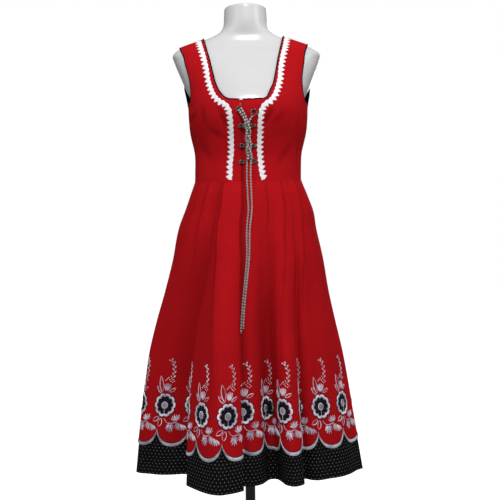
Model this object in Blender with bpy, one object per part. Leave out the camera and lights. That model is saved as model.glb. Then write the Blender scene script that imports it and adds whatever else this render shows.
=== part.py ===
"""A red sleeveless dirndl with a scalloped skirt, on a white dress form and its round stand.

The origin is the centre of the stand's underside. The front faces -Y and +X is the viewer's right.
"""
import math

import bmesh
import bpy
import numpy as np
from mathutils import Vector
from mathutils.bvhtree import BVHTree

MM = 0.001

# Cloth, in metres
CLOTH = 1.6 * MM
LINING = 1.1 * MM
LINING_INSET = 0.2
LINING_GAP = 0.9 * MM
TRIM_CLOTH = 1.2 * MM
LAP_GAP = 0.5 * MM
SEAM_GAP = 0.4 * MM
BODY_EASE = 2.4 * MM
SHOULDER_EASE = 1.9 * MM
LAP_LIFT = CLOTH + 0.8 * MM
SIDE_REACH = 0.5 * MM
WORN_SHIFT = -7.6 * MM

# Heights of the seams
WAIST_FRONT_Z = 1.013
WAIST_SIDE_RISE = 0.007
WAIST_TILT = 0.0118
HEM_Z = 0.259
HEM_TILT = 0.0035
SHOULDER_AXIS_Z = 1.300

# Front opening, as distances from the centre line
OPENING_X = -0.018
UNDERLAP_X = -0.035

# Skirt border
SCALLOP_PITCH = 0.088
SCALLOP_COLUMNS = 6
SCALLOP_LOW = 0.075
SCALLOP_DEPTH = 0.034
BAND_HEIGHT = 0.130
PLEAT_PITCH = 0.040
PLEAT_HEIGHT = 0.003
PLEAT_FADE = 0.22

# Stand
POLE_RADIUS = 0.013
SOCKET_RADIUS = 0.0135
SOCKET_TOP_Z = 0.900
BASE_RADIUS = 0.160
BASE_EDGE = 0.008
BASE_HEIGHT = 0.016
COLLAR_RADIUS = 0.024
COLLAR_TOP = 0.040

# Trimmings
PIPING_RADIUS = 1.3 * MM
PIPING_GAP = 0.35 * MM
TRIM_WIDTH = 0.0130
TOOTH_LENGTH = 0.0055
TOOTH_PITCH = 0.0126
TRIM_INSET = 0.0110
TRIM_GAP = 0.95 * MM
SEEK_LIFT = 3.0 * MM
CORD_RADIUS = 2.1 * MM
PLAIT_WIDTH = 5.0 * MM
PLAIT_DEPTH = 2.6 * MM
PLAIT_TURNS = 3
PLAIT_POINTS = 26
EYE_WIRE_WIDTH = 2.0 * MM
EYE_WIRE_HEIGHT = 1.1 * MM

# The form's level sections in millimetres; ease is how much wider the bodice is cut at its sides
# Columns: z, half_width, front, back, squareness, ease
FORM_SECTIONS = (
    (830, 150, 90, 98, 2.3, 0),
    (865, 156, 92, 103, 2.3, 0),
    (905, 155, 92, 104, 2.3, 0),
    (950, 147, 91, 102, 2.2, 0),
    (1000, 138.5, 91, 97, 2.2, 0),
    (1020, 136, 91, 93, 2.2, 0),
    (1050, 135.5, 91, 91, 2.2, 0),
    (1080, 135.8, 94, 91, 2.2, 0),
    (1095, 137, 98, 92, 2.2, 0),
    (1110, 140, 103, 94, 2.2, 0),
    (1130, 145, 111, 97, 2.2, 0),
    (1150, 149, 121, 100, 2.25, 0),
    (1185, 149, 134, 104, 2.3, 3),
    (1217, 146.5, 134, 107, 2.3, 7),
    (1236, 150, 127, 108, 2.3, 6.5),
    (1257, 160, 117, 108, 2.3, 1),
    (1280, 169, 107, 105, 2.3, 0),
    (1300, 177, 98, 100, 2.35, 0),
    (1320, 185, 88.5, 95, 2.4, 0),
    (1335, 190, 80, 90, 2.5, 0),
    (1352, 194, 70, 80, 2.6, 0),
    (1360, 188, 62, 72, 2.6, 0),
    (1370, 172, 55, 65, 2.5, 0),
    (1380, 145, 50, 60, 2.4, 0),
    (1390, 117, 48, 56, 2.3, 0),
    (1400, 90, 47, 54, 2.2, 0),
    (1410, 72, 50, 53, 2.1, 0),
    (1420, 63, 53, 54, 2.0, 0),
    (1434, 58, 55.5, 55.5, 2.0, 0),
    (1482, 56, 56, 56, 2.0, 0),
    (1487, 53, 53, 53, 2.0, 0),
)
FORM_CORNERS = 26

# The bodice's rows in millimetres, from the armhole or side seam inwards. Below the neckline a front
# row has three heights: outer, at the neckline's corner, and at the opening.
# A row over the shoulder gives angles in degrees round the shoulder axis in place of heights.
SIDE = None
# Columns: outer_x, outer_z, corner_z, opening_z
FRONT_ROWS = (
    (SIDE, 1050, 1050, 1050),
    (SIDE, 1085, 1085, 1085),
    (SIDE, 1120, 1118, 1118),
    (SIDE, 1155, 1148, 1146),
    (SIDE, 1190, 1172, 1169),
    (SIDE, 1217.5, 1190, 1186),
    (144.5, 1221, 1202, 1199),
    (140, 1238, 1213, 1211),
)
# Columns: outer_x, outer_z, neck_x, neck_z
FRONT_UPPER_ROWS = (
    (139.5, 1258, 54, 1219),
    (140.5, 1278, 61, 1230),
    (144, 1298, 72, 1253),
    (148.5, 1318, 81, 1290),
)
# Columns: outer_x, outer_angle, neck_x, neck_angle
FRONT_STRAP = (
    (155, 42, 89, 19),
    (158.5, 50, 93, 31),
    (161, 58, 96.5, 43),
    (162.5, 66, 99.5, 54),
    (164, 74, 102, 64),
    (165, 81, 104.5, 74),
    (165, 88, 106, 83.5),
    (165, 94, 106.7, 91.7),
    (165, 99.87, 107, 99.87),
)
BACK_ROWS = (
    (SIDE, 1050, 0, 1050),
    (SIDE, 1085, 0, 1085),
    (SIDE, 1120, 0, 1120),
    (SIDE, 1155, 0, 1155),
    (SIDE, 1190, 0, 1190),
    (SIDE, 1217.5, 0, 1222),
    (160, 1226, 0, 1246),
    (161, 1242, 0, 1267),
    (161.5, 1262, 0, 1285),
    (162, 1283, 0, 1300),
    (163, 1303, 34, 1303),
    (164.5, 1322, 62, 1314),
)
BACK_STRAP = (
    (166, 138, 84, 154),
    (166, 131, 90, 145),
    (166, 124, 96, 136),
    (165.8, 117.5, 100.5, 126.5),
    (165.5, 111, 104, 117),
    (165.2, 105.5, 106, 108.5),
    (165, 100.13, 107, 100.13),
)
UNDERARM_ROW = 6
BACK_NECK_ROW = 10
CORNER_X = 0.045
OUTER_COLUMNS = 6
BACK_COLUMNS = 9

# How the skirt widens from waist to hem, in millimetres; folds is the share of the hem's folds
# Columns: drop, half_width, front, back, folds
DRAPE = (
    (0.00, 140, 97, 98, 0.00),
    (0.06, 157, 103, 105, 0.03),
    (0.115, 171.6, 108, 112, 0.07),
    (0.17, 182, 113, 118, 0.12),
    (0.27, 198, 121, 129, 0.22),
    (0.375, 215, 130, 139, 0.38),
    (0.48, 235, 139, 147, 0.55),
    (0.58, 253, 146, 155, 0.68),
    (0.69, 267, 152.5, 162.5, 0.80),
    (0.80, 279, 158, 168, 0.88),
    (0.90, 290, 162, 172, 0.94),
    (1.00, 300, 166, 176, 1.00),
)
SKIRT_ROWS = (0.0, 0.05, 0.11, 0.19, 0.31, 0.46, 0.62, 0.80)

# The hem seen from above in millimetres, and where each fold starts at the waist seam
# Columns: hem_x, hem_y, waist_x
FRONT_LEFT_HEM = (
    (-303, 0, -140),
    (-292, -14, -138),
    (-268, -23, -133),
    (-234, -36, -122),
    (-204, -37, -108),
    (-178, -33, -94),
    (-146, -40, -80),
    (-128, -66, -71),
    (-150, -100, -66),
    (-160, -128, -62),
    (-142, -160, -56),
    (-117, -194, -49),
    (-90, -219, -42),
    (-72, -225, -36),
    (-48, -216, -28),
    (-28, -203, -22),
    (-13, -189, -18),
)
FRONT_RIGHT_HEM = (
    (-36, -146, -38),
    (-12, -154, -20),
    (12, -152, 4),
    (32, -136, 18),
    (44, -110, 27),
    (54, -93, 35),
    (64, -92, 41),
    (76, -114, 49),
    (90, -150, 60),
    (108, -163, 74),
    (124, -156, 84),
    (136, -140, 91),
    (137.5, -119, 95),
    (133.5, -103, 98),
    (139, -93, 101),
    (151, -104, 105),
    (170, -110, 112),
    (200, -96, 121),
    (232, -80, 129),
    (262, -50, 135),
    (285, -14, 139),
    (299, 0, 140),
)
BACK_HEM = (
    (299, 0, 140),
    (292, 38, 139),
    (266, 66, 135),
    (232, 80, 126),
    (200, 92, 114),
    (180, 122, 103),
    (164, 157.5, 92),
    (136, 182, 80),
    (104, 182, 66),
    (84, 152, 54),
    (62, 126, 42),
    (34, 124, 28),
    (12, 150, 14),
    (-10, 183, -2),
    (-44, 198, -20),
    (-78, 187, -38),
    (-97, 158, -52),
    (-114, 128, -64),
    (-140, 124, -78),
    (-160, 148, -90),
    (-184, 168, -102),
    (-214, 158, -114),
    (-236, 120, -124),
    (-256, 84, -131),
    (-286, 46, -138),
    (-303, 0, -140),
)
# How far the figure and the dress stand off the pole's line at each height, in millimetres
# Columns: z, shift
LEAN = (
    (255, 0),
    (330, -2.5),
    (400, -4.5),
    (500, -6),
    (600, -7.5),
    (655, -7),
    (735, -4),
    (815, 0),
    (905, 0),
    (940, 4),
    (980, 4),
    (1020, 3),
    (1080, 4),
    (1180, 5),
    (1250, 4.5),
    (1300, 3.5),
    (1350, 2.5),
    (1400, 1.5),
    (1487, 1.5),
)
# Distance of the first scallop point from each panel's first edge
FIRST_POINT = {"front_left": 0.064, "front_right": 0.009, "back": 0.0127}

# The braid trim's centre line up a front in millimetres, and how far the worn dress shifts it
# Columns: distance from the middle, z, shift
TRIM_PATH = (
    (43.5, 1018, -3.3),
    (41.0, 1031, -4.5),
    (39.0, 1054, -6.4),
    (35.5, 1090, -6.6),
    (36.0, 1128, -6.6),
    (37.8, 1166, -6.6),
    (41.5, 1188, -6.6),
    (50.0, 1201, -6.6),
    (63.0, 1209.5, -7.0),
    (75.0, 1224, -8.0),
    (84.5, 1246, -8.6),
    (90.7, 1270, -8.6),
    (94.0, 1297, -8.6),
)
# Its run over the shoulder, with angles in degrees round the shoulder axis
# Columns: distance from the middle, angle, shift
TRIM_STRAP = (
    (101.0, 22, -8.6),
    (106.5, 38, -8.6),
    (111.0, 54, -8.6),
    (115.0, 70, -8.6),
    (117.5, 84, -8.6),
    (118.7, 99.4, -8.6),
)
BACK_TOOTH_SIDE = -1.0

# Lacing eyes on the front, in millimetres; seat_x is where each is sewn down
# Columns: name, x, z, width, height, seat_x
LACE_EYES = (
    ("left_1", -23.5, 1188, 15, 15, -23.5),
    ("right_1", 14.5, 1180.5, 20, 20, 14.5),
    ("left_2", -17.5, 1150, 18, 14, -25),
    ("right_2", 11, 1150, 16, 13, 14),
    ("left_3", -16, 1103.5, 18, 14, -25),
    ("right_3", 13, 1102.5, 17, 13, 16),
    ("left_4", -17, 1062.5, 18, 13, -25),
    ("right_4", 15, 1064.5, 17, 15, 18),
)
EYE_POINTS = 10
EYE_CORNERS = 5
PLAIT_TOP = (-2.4 * MM, 1.1612)
PLAIT_LOW = (2.8 * MM, 1.0690)
PLAIT_LIFT = 8.2 * MM
HOOK_X = -18.3
HOOK_Z = 1199.5

# Centre line of the two hanging lace ends, in millimetres
# Columns: x, z
LACE_END_PATH = (
    (2.2, 1066),
    (2.0, 1052),
    (1.9, 1030),
    (2.2, 1000),
    (2.9, 960),
    (3.6, 925),
    (2.8, 880),
    (1.2, 830),
    (-1.6, 780),
    (-4.6, 730),
    (-6.8, 690),
    (-8.2, 655),
    (-8.8, 634),
)
LACE_END_POINTS = 40
LACE_END_APART = 2.5 * MM
LACE_END_LIFT = CORD_RADIUS + 1.0 * MM


def smooth_table(keys, values, places):
    """Read a table at the given places, on a smooth curve through all of its rows."""
    keys = np.asarray(keys, dtype=float)
    values = np.asarray(values, dtype=float)
    places = np.clip(np.asarray(places, dtype=float), keys[0], keys[-1])
    steps = np.diff(keys)
    slopes = np.diff(values, axis=0) / steps[:, None]
    tangents = np.empty_like(values)
    tangents[0] = slopes[0]
    tangents[-1] = slopes[-1]
    before = steps[:-1, None]
    after = steps[1:, None]
    tangents[1:-1] = (slopes[:-1] * after + slopes[1:] * before) / (before + after)
    cell = np.clip(np.searchsorted(keys, places, side="right") - 1, 0, len(steps) - 1)
    share = ((places - keys[cell]) / steps[cell])[..., None]
    width = steps[cell][..., None]
    rise = share * share * (3.0 - 2.0 * share)
    ease_in = share * (1.0 - share) ** 2 * width
    ease_out = share * share * (share - 1.0) * width
    return (values[cell] * (1.0 - rise) + values[cell + 1] * rise
            + tangents[cell] * ease_in + tangents[cell + 1] * ease_out)


def smooth_step(value, start, end):
    """Rise from 0 at start to 1 at end."""
    share = np.clip((np.asarray(value, dtype=float) - start) / (end - start), 0.0, 1.0)
    return share * share * (3.0 - 2.0 * share)


def unit(vectors):
    """Give vectors the length one."""
    return vectors / np.linalg.norm(vectors, axis=-1, keepdims=True)


def section_at(z):
    """Half width, front, back, squareness and ease of the figure at heights z, in metres."""
    rows = np.array(FORM_SECTIONS, dtype=float)
    values = rows[:, 1:] * np.array((MM, MM, MM, 1.0, MM))
    return smooth_table(rows[:, 0] * MM, values, z)


def figure_value(points):
    """Below zero inside the figure that the bodice is cut for, above zero outside."""
    section = section_at(points[..., 2])
    half_width = section[..., 0] + section[..., 4]
    depth = np.where(points[..., 1] < 0.0, section[..., 1], section[..., 2])
    power = section[..., 3]
    across = np.abs(points[..., 0]) / half_width
    along = np.abs(points[..., 1]) / depth
    return across ** power + along ** power - 1.0


def figure_slopes(points):
    """How fast the figure's value grows along each axis."""
    step = 0.0005
    slopes = []
    for axis in range(3):
        shift = np.zeros(3)
        shift[axis] = step
        slopes.append(figure_value(points + shift) - figure_value(points - shift))
    return np.stack(slopes, axis=-1) / (2.0 * step)


def figure_normals(points):
    """Outward directions of the figure's surface."""
    return unit(figure_slopes(points))


def worn_askew(points, side):
    """Slide the bodice's upper part sideways over the figure, as it is worn."""
    points = points.copy()
    points[..., 0] += side * WORN_SHIFT * smooth_step(points[..., 2], 1.190, 1.240)
    for _ in range(3):
        slopes = figure_slopes(points)
        share = figure_value(points) / np.sum(slopes * slopes, axis=-1)
        points = points - slopes * share[..., None]
    return points


def ring_points(angles, z):
    """Points of the figure at heights z, at angles round it from the viewer's right side."""
    section = section_at(z)
    half_width = section[..., 0] + section[..., 4]
    depth = np.where(np.sin(angles) < 0.0, section[..., 1], section[..., 2])
    power = 2.0 / section[..., 3]
    across = np.cos(angles)
    along = np.sin(angles)
    x = half_width * np.sign(across) * np.abs(across) ** power
    y = depth * np.sign(along) * np.abs(along) ** power
    return np.stack((x, y, z + 0.0 * x), axis=-1)


def side_angle(x, z):
    """Angle round the figure from its side to the point whose distance from the middle is x."""
    section = section_at(z)
    half_width = section[..., 0] + section[..., 4]
    share = np.clip(x / half_width, -1.0, 1.0)
    return np.arccos(np.sign(share) * np.abs(share) ** (section[..., 3] / 2.0))


def shoulder_points(x, angles):
    """Points of the figure on rays round the shoulder axis, front at 0 and up at 90 degrees."""
    directions = np.stack((0.0 * angles, -np.cos(angles), np.sin(angles)), axis=-1)
    starts = np.stack((x, 0.0 * x, SHOULDER_AXIS_Z + 0.0 * x), axis=-1)
    near = np.zeros(x.shape)
    far = np.full(x.shape, 0.16)
    for _ in range(40):
        middle = 0.5 * (near + far)
        inside = figure_value(starts + directions * middle[..., None]) < 0.0
        near = np.where(inside, middle, near)
        far = np.where(inside, far, middle)
    return starts + directions * (0.5 * (near + far))[..., None]


def lean(z):
    """Sideways shift of the figure and the dress at heights z."""
    table = np.array(LEAN, dtype=float) * MM
    return smooth_table(table[:, 0], table[:, 1:], z)[..., 0]


def waist_height(x):
    """Height of the waist seam across the figure."""
    return WAIST_FRONT_Z + WAIST_TILT * x + WAIST_SIDE_RISE * (x / 0.140) ** 2


def opening_lift(x):
    """How far the left front is raised where it laps over the right front."""
    return LAP_LIFT * smooth_step(x, -0.090, -0.056)


def body_ease(points):
    """Room between figure and bodice, less where the straps rest on the shoulders."""
    share = smooth_step(points[..., 2], 1.338, 1.372)
    return BODY_EASE + (SHOULDER_EASE - BODY_EASE) * share


def row_points(facing, outer_x, outer_z, inner_x, inner_z, share):
    """A row of the bodice between two places on the figure, given in metres."""
    start = 0.0 if outer_x is SIDE else side_angle(outer_x, outer_z)
    end = side_angle(inner_x, inner_z)
    return ring_points(facing * (start + (end - start) * share), outer_z + (inner_z - outer_z) * share)


def strap_points(rows, share):
    """Rows of a strap round the shoulder."""
    net = []
    for outer_x, outer_angle, inner_x, inner_angle in rows:
        x = (outer_x + (inner_x - outer_x) * share) * MM
        net.append(shoulder_points(x, np.radians(outer_angle + (inner_angle - outer_angle) * share)))
    return net


def waist_row(side, angles):
    """The bodice's edge at the waist seam, at angles round the figure."""
    level = ring_points(angles, np.full(angles.shape, WAIST_FRONT_Z))
    return ring_points(angles, waist_height(side * level[:, 0]) + 0.5 * SEAM_GAP)


def bodice_sheet(side, facing, net, lapped=False):
    """Outer face of a bodice sheet with its outward directions, from points of the figure."""
    net = worn_askew(np.array(net), side)
    lift = body_ease(net) + CLOTH
    if lapped:
        lift = lift + opening_lift(-net[..., 0])
    normals = figure_normals(net)
    mirror = np.array((side, 1.0, 1.0))
    net = (net + normals * lift[..., None]) * mirror
    normals = normals * mirror
    seam = np.abs(net[:, 0, 1]) < SIDE_REACH
    net[seam, 0, 1] = facing * 0.5 * SEAM_GAP
    normals[seam, 0, 1] = 0.0
    return net, unit(normals)


def front_sheets(side, inner_edge, inner_columns):
    """A bodice front: its body up to the neckline, and its strap."""
    outer = np.linspace(0.0, 1.0, OUTER_COLUMNS + 1)
    inner = np.linspace(0.0, 1.0, inner_columns + 1)[1:]
    corner = side_angle(CORNER_X, WAIST_FRONT_Z)
    opening = side_angle(inner_edge, WAIST_FRONT_Z)
    angles = np.concatenate((outer * corner, corner + (opening - corner) * inner))
    body = [waist_row(side, -angles)]
    for outer_x, outer_z, corner_z, opening_z in FRONT_ROWS:
        outer_x = outer_x if outer_x is SIDE else outer_x * MM
        body.append(np.concatenate((
            row_points(-1.0, outer_x, outer_z * MM, CORNER_X, corner_z * MM, outer),
            row_points(-1.0, CORNER_X, corner_z * MM, inner_edge, opening_z * MM, inner))))
    strap = [body[-1][:OUTER_COLUMNS + 1]]
    for outer_x, outer_z, neck_x, neck_z in FRONT_UPPER_ROWS:
        strap.append(row_points(-1.0, outer_x * MM, outer_z * MM, neck_x * MM, neck_z * MM, outer))
    strap.extend(strap_points(FRONT_STRAP, outer))
    lapped = side < 0
    return [bodice_sheet(side, -1.0, body, lapped), bodice_sheet(side, -1.0, strap, lapped)]


def back_sheets(side):
    """Half of the bodice's back."""
    share = np.linspace(0.0, 1.0, BACK_COLUMNS + 1)
    net = [waist_row(side, 0.5 * math.pi * share)]
    for outer_x, outer_z, inner_x, inner_z in BACK_ROWS:
        outer_x = outer_x if outer_x is SIDE else outer_x * MM
        net.append(row_points(1.0, outer_x, outer_z * MM, inner_x * MM, inner_z * MM, share))
    net.extend(strap_points(BACK_STRAP, share))
    return [bodice_sheet(side, 1.0, net)]


def hem_curve(rows):
    """A panel's hem as a smooth curve: distance along it at each table row, and the table."""
    table = np.array(rows, dtype=float) * MM
    chords = np.linalg.norm(np.diff(table[:, :2], axis=0), axis=1)
    keys = np.concatenate(((0.0,), np.cumsum(chords)))
    fine = np.linspace(0.0, keys[-1], 600)
    curve = smooth_table(keys, table, fine)
    steps = np.linalg.norm(np.diff(curve[:, :2], axis=0), axis=1)
    return np.concatenate(((0.0,), np.cumsum(steps))), curve


def read_hem(panel, distances):
    """Hem point and waist position at distances along a panel's hem."""
    along, curve = hem_curve(panel)
    return np.stack([np.interp(distances, along, curve[:, i]) for i in range(3)], axis=-1)


def scallop_height(distances, first_point):
    """Height of the red cloth's edge above the hem: points between round scallops."""
    share = np.mod((distances - first_point) / SCALLOP_PITCH, 1.0)
    roundness = np.clip(1.0 - np.abs(2.0 * share - 1.0) ** 2.2, 0.0, 1.0) ** 0.6
    return SCALLOP_LOW + SCALLOP_DEPTH * (1.0 - roundness)


def hem_distances(panel, first_point):
    """Distances of the columns along a hem, a whole number of them to each scallop."""
    length = hem_curve(panel)[0][-1]
    step = SCALLOP_PITCH / SCALLOP_COLUMNS
    first = first_point - math.floor(first_point / step) * step
    inner = np.arange(first, length, step)
    inner = inner[(inner > 0.4 * step) & (inner < length - 0.4 * step)]
    return np.concatenate(((0.0,), inner, (length,)))


def skirt_points(hem, drops, back, raised):
    """Points of the skirt's outer face under hem points, at shares of the way down."""
    drape = np.array(DRAPE, dtype=float)
    level = smooth_table(drape[:, 0], drape[:, 1:] * np.array((MM, MM, MM, 1.0)), drops)
    facing = 1.0 if back else -1.0
    ratio = np.clip(hem[..., 2] / 0.140, -1.0, 1.0)
    across = np.sign(ratio) * np.abs(ratio) ** 1.1
    along = np.sqrt(1.0 - across ** 2) ** (1.0 / 1.1)
    depth = level[..., 2] if back else level[..., 1]
    hem_depth = drape[-1, 3 if back else 2] * MM
    fold_x = hem[..., 0] - drape[-1, 1] * MM * ratio
    fold_y = hem[..., 1] - facing * hem_depth * along
    x = level[..., 0] * ratio + fold_x * level[..., 3]
    y = facing * depth * along + fold_y * level[..., 3]
    waist_arc = 0.140 * np.arcsin(np.clip(across, -1.0, 1.0))
    pleat = PLEAT_HEIGHT * np.mod(waist_arc / PLEAT_PITCH, 1.0)
    out = pleat * (1.0 - smooth_step(drops, 0.0, PLEAT_FADE))
    if raised:
        out = out + opening_lift(hem[..., 2])
    x = x + out * across
    y = y + facing * out * along
    top = waist_height(hem[..., 2]) - 0.5 * SEAM_GAP
    low = HEM_Z + HEM_TILT * hem[..., 0]
    return np.stack((x, y, top + (low - top) * drops), axis=-1)


def hem_share(hem, height):
    """Share of the way down at a height above the hem."""
    length = waist_height(hem[..., 2]) - HEM_Z - HEM_TILT * hem[..., 0]
    return 1.0 - height / length


def net_normals(net, centre):
    """Directions out of a net's face at its points, away from a centre."""
    normals = unit(np.cross(np.gradient(net, axis=1), np.gradient(net, axis=0)))
    return normals * np.sign(np.sum(normals * (net - np.array(centre)), axis=-1).sum())


def square_sides(net, normals, columns, facing):
    """Trim a net's side edges to the seam's plane, with its walls square to it."""
    for column in columns:
        net[:, column, 1] = facing * 0.5 * SEAM_GAP
        normals[:, column, 1] = 0.0
    return net, unit(normals)


def skirt_wall(panel, first_point, back, raised, side_columns):
    """Outer face of a skirt panel from its scalloped edge up, with outward directions."""
    distances = hem_distances(panel, first_point)
    hem = read_hem(panel, distances)
    edge = hem_share(hem, scallop_height(distances, first_point))
    rows = [skirt_points(hem, edge, back, raised)]
    for drop in reversed(SKIRT_ROWS):
        rows.append(skirt_points(hem, np.full(distances.shape, drop), back, raised))
    net = np.array(rows)
    normals = net_normals(net, (0.0, 0.0, 0.6))
    return square_sides(net, normals, side_columns, 1.0 if back else -1.0)


def band_wall(panel, first_point, back, raised, side_columns):
    """Outer face of the black hem band behind the red cloth, with outward directions."""
    distances = hem_distances(panel, first_point)
    hem = read_hem(panel, distances)
    rows = [skirt_points(hem, hem_share(hem, height), back, raised) for height in (0.0, BAND_HEIGHT)]
    net = np.array(rows)
    facing = 1.0 if back else -1.0
    normals = net_normals(net, (0.0, 0.0, HEM_Z))
    net, normals = square_sides(net, normals, side_columns, facing)
    net = net - normals * (CLOTH + LAP_GAP)
    return square_sides(net, normals, side_columns, facing)


def material(name, colour, roughness, metallic=0.0):
    """A plain finish."""
    finish = bpy.data.materials.new(name)
    finish.use_nodes = True
    shader = finish.node_tree.nodes["Principled BSDF"]
    shader.inputs["Base Color"].default_value = (*colour, 1.0)
    shader.inputs["Roughness"].default_value = roughness
    shader.inputs["Metallic"].default_value = metallic
    finish.diffuse_color = (*colour, 1.0)
    return finish


def add_object(name, data, finish):
    """Put a mesh or curve into the scene with its finish."""
    data.materials.append(finish)
    item = bpy.data.objects.new(name, data)
    bpy.context.collection.objects.link(item)
    return item


def add_mesh(name, body, finish, sharp_angle=50.0, upright=False):
    """Turn a bmesh into an object, shaded smooth apart from its sharp edges."""
    if not upright:
        shifts = lean(np.array([vertex.co.z for vertex in body.verts]))
        for vertex, shift in zip(body.verts, shifts):
            vertex.co.x += shift
    mesh = bpy.data.meshes.new(name)
    body.to_mesh(mesh)
    body.free()
    mesh.shade_smooth()
    mesh.set_sharp_from_angle(angle=math.radians(sharp_angle))
    return add_object(name, mesh, finish)


def add_wall(name, sheets, finish, thickness=CLOTH):
    """A closed cloth wall under nets of its outer face, joined where the nets' edges meet."""
    body = bmesh.new()
    for net, normals in sheets:
        rows, columns = net.shape[:2]
        for layer in (net, net - normals * thickness):
            made = bmesh.ops.create_grid(body, x_segments=columns - 1, y_segments=rows - 1, size=1.0)
            for vertex, point in zip(made["verts"], layer.reshape(-1, 3)):
                vertex.co = Vector(point)
    bmesh.ops.remove_doubles(body, verts=body.verts, dist=0.00002)
    rim = [edge for edge in body.edges if edge.is_boundary]
    bmesh.ops.bridge_loops(body, edges=rim)
    bmesh.ops.recalc_face_normals(body, faces=body.faces)
    bmesh.ops.triangulate(body, faces=body.faces)
    return add_mesh(name, body, finish)


def add_swept(name, centres, sideways, upwards, half_width, half_height, corners, finish, closed):
    """A rod or ring of rounded section along a line of points."""
    body = bmesh.new()
    rings = []
    for centre, side, up in zip(centres, sideways, upwards):
        ring = []
        for corner in range(corners):
            angle = 2.0 * math.pi * (corner + 0.5) / corners
            offset = side * half_width * math.cos(angle) + up * half_height * math.sin(angle)
            ring.append(body.verts.new(Vector(centre + offset)))
        rings.append(ring)
    pairs = list(zip(rings, rings[1:]))
    if closed:
        pairs.append((rings[-1], rings[0]))
    for first, second in pairs:
        for corner in range(corners):
            following = (corner + 1) % corners
            body.faces.new((first[corner], first[following], second[following], second[corner]))
    if not closed:
        body.faces.new(rings[0])
        body.faces.new(rings[-1])
    bmesh.ops.recalc_face_normals(body, faces=body.faces)
    return add_mesh(name, body, finish)


def add_cord(name, points, finish, resolution=2):
    """A round cord along a line of points."""
    curve = bpy.data.curves.new(name, "CURVE")
    curve.dimensions = "3D"
    curve.bevel_depth = CORD_RADIUS
    curve.bevel_resolution = resolution
    curve.use_fill_caps = True
    spline = curve.splines.new("POLY")
    spline.points.add(len(points) - 1)
    points = points + np.stack((lean(points[:, 2]), 0.0 * points[:, 0], 0.0 * points[:, 0]), axis=-1)
    for place, point in zip(spline.points, points):
        place.co = (*point, 1.0)
        place.radius = 1.0
    return add_object(name, curve, finish)


def face_tree(items):
    """A search tree over the faces of several objects, before their lean."""
    points = []
    faces = []
    for item in items:
        start = len(points)
        for vertex in item.data.vertices:
            x, y, z = vertex.co
            points.append((x - lean(np.array(z)), y, z))
        faces.extend([start + index for index in face.vertices] for face in item.data.polygons)
    return BVHTree.FromPolygons(points, faces)


def from_front(tree, x, z):
    """Point and outward direction where a level line from the front meets the dress."""
    place, normal, _, _ = tree.ray_cast(Vector((x, -1.0, z)), Vector((0.0, 1.0, 0.0)))
    normal = np.array(normal)
    return np.array(place), normal * (-np.sign(normal[1]))


def over_shoulder(tree, x, angle):
    """Point and outward direction where a ray round the shoulder axis meets the dress."""
    inwards = Vector((0.0, math.cos(angle), -math.sin(angle)))
    start = Vector((x, 0.0, SHOULDER_AXIS_Z)) - inwards * 0.3
    place, normal, _, _ = tree.ray_cast(start, inwards)
    normal = np.array(normal)
    return np.array(place), normal * (-np.sign(normal.dot(np.array(inwards))))


def seat_point(tree, point, outwards, lift):
    """Move a point onto the nearest cloth and then out from it."""
    place, normal, _, _ = tree.find_nearest(Vector(point + outwards * SEEK_LIFT))
    normal = np.array(normal)
    return np.array(place) + normal * np.sign(normal.dot(outwards)) * lift


def even_points(points, step, normals):
    """Points and directions spaced evenly along a line."""
    points = np.asarray(points)
    chords = np.linalg.norm(np.diff(points, axis=0), axis=1)
    keys = np.concatenate(((0.0,), np.cumsum(chords)))
    count = max(2, int(round(keys[-1] / step)))
    places = np.linspace(0.0, keys[-1], count + 1)
    values = smooth_table(keys, np.concatenate((points, np.asarray(normals)), axis=1), places)
    return values[:, :3], unit(values[:, 3:])


def add_trim(name, tree, points, normals, tooth_side, finish):
    """Braid with a toothed outer edge, laid on the cloth along a line."""
    centres, outs = even_points(points, 0.5 * TOOTH_PITCH, normals)
    along = unit(np.gradient(centres, axis=0))
    sides = unit(np.cross(outs, along)) * tooth_side
    rows = []
    for index, (centre, out, side) in enumerate(zip(centres, outs, sides)):
        reach = TOOTH_LENGTH if index % 2 else 0.0
        inner = centre - side * 0.5 * TRIM_WIDTH
        outer = centre + side * (0.5 * TRIM_WIDTH - 0.5 * TOOTH_LENGTH + reach)
        rows.append([seat_point(tree, place, out, TRIM_GAP + TRIM_CLOTH) for place in (inner, outer)])
    normals = np.repeat(outs[:, None, :], 2, axis=1)
    return add_wall(name, [(np.array(rows), normals)], finish, TRIM_CLOTH)


def edge_line(edge, inside, outs):
    """Middle of the cloth along its edge, with directions beyond it and out of its face."""
    beyond = unit(np.cross(np.gradient(edge, axis=0), outs))
    beyond = beyond * np.sign(np.sum(beyond * (edge - inside)))
    return [edge - outs * 0.5 * CLOTH, beyond, outs]


def armhole_line(sheets):
    """Edge line of an armhole, from the underarm up to the shoulder."""
    parts = [(net[start:], normals[start:])
             for start, (net, normals) in zip((UNDERARM_ROW, 1), sheets)]
    edge = np.concatenate([net[:, 0] for net, _ in parts])
    inside = np.concatenate([net[:, 1] for net, _ in parts])
    outs = np.concatenate([normals[:, 0] for _, normals in parts])
    return edge_line(edge, inside, outs)


def front_neck_line(sheets):
    """Edge line of the front neckline, from the opening up to the shoulder."""
    (body, body_normals), (strap, strap_normals) = sheets
    bottom = slice(None, OUTER_COLUMNS - 1, -1)
    edge = np.concatenate((body[-1, bottom], strap[1:, -1]))
    inside = np.concatenate((body[-2, bottom], strap[1:, -2]))
    outs = np.concatenate((body_normals[-1, bottom], strap_normals[1:, -1]))
    return edge_line(edge, inside, outs)


def back_neck_line(sheets):
    """Edge line of half the back neckline, from the middle up to the shoulder."""
    net, normals = sheets[0]
    line = edge_line(net[BACK_NECK_ROW:, -1], net[BACK_NECK_ROW:, -2], normals[BACK_NECK_ROW:, -1])
    line[1][0] = (0.0, 0.0, 1.0)
    return line


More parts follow.
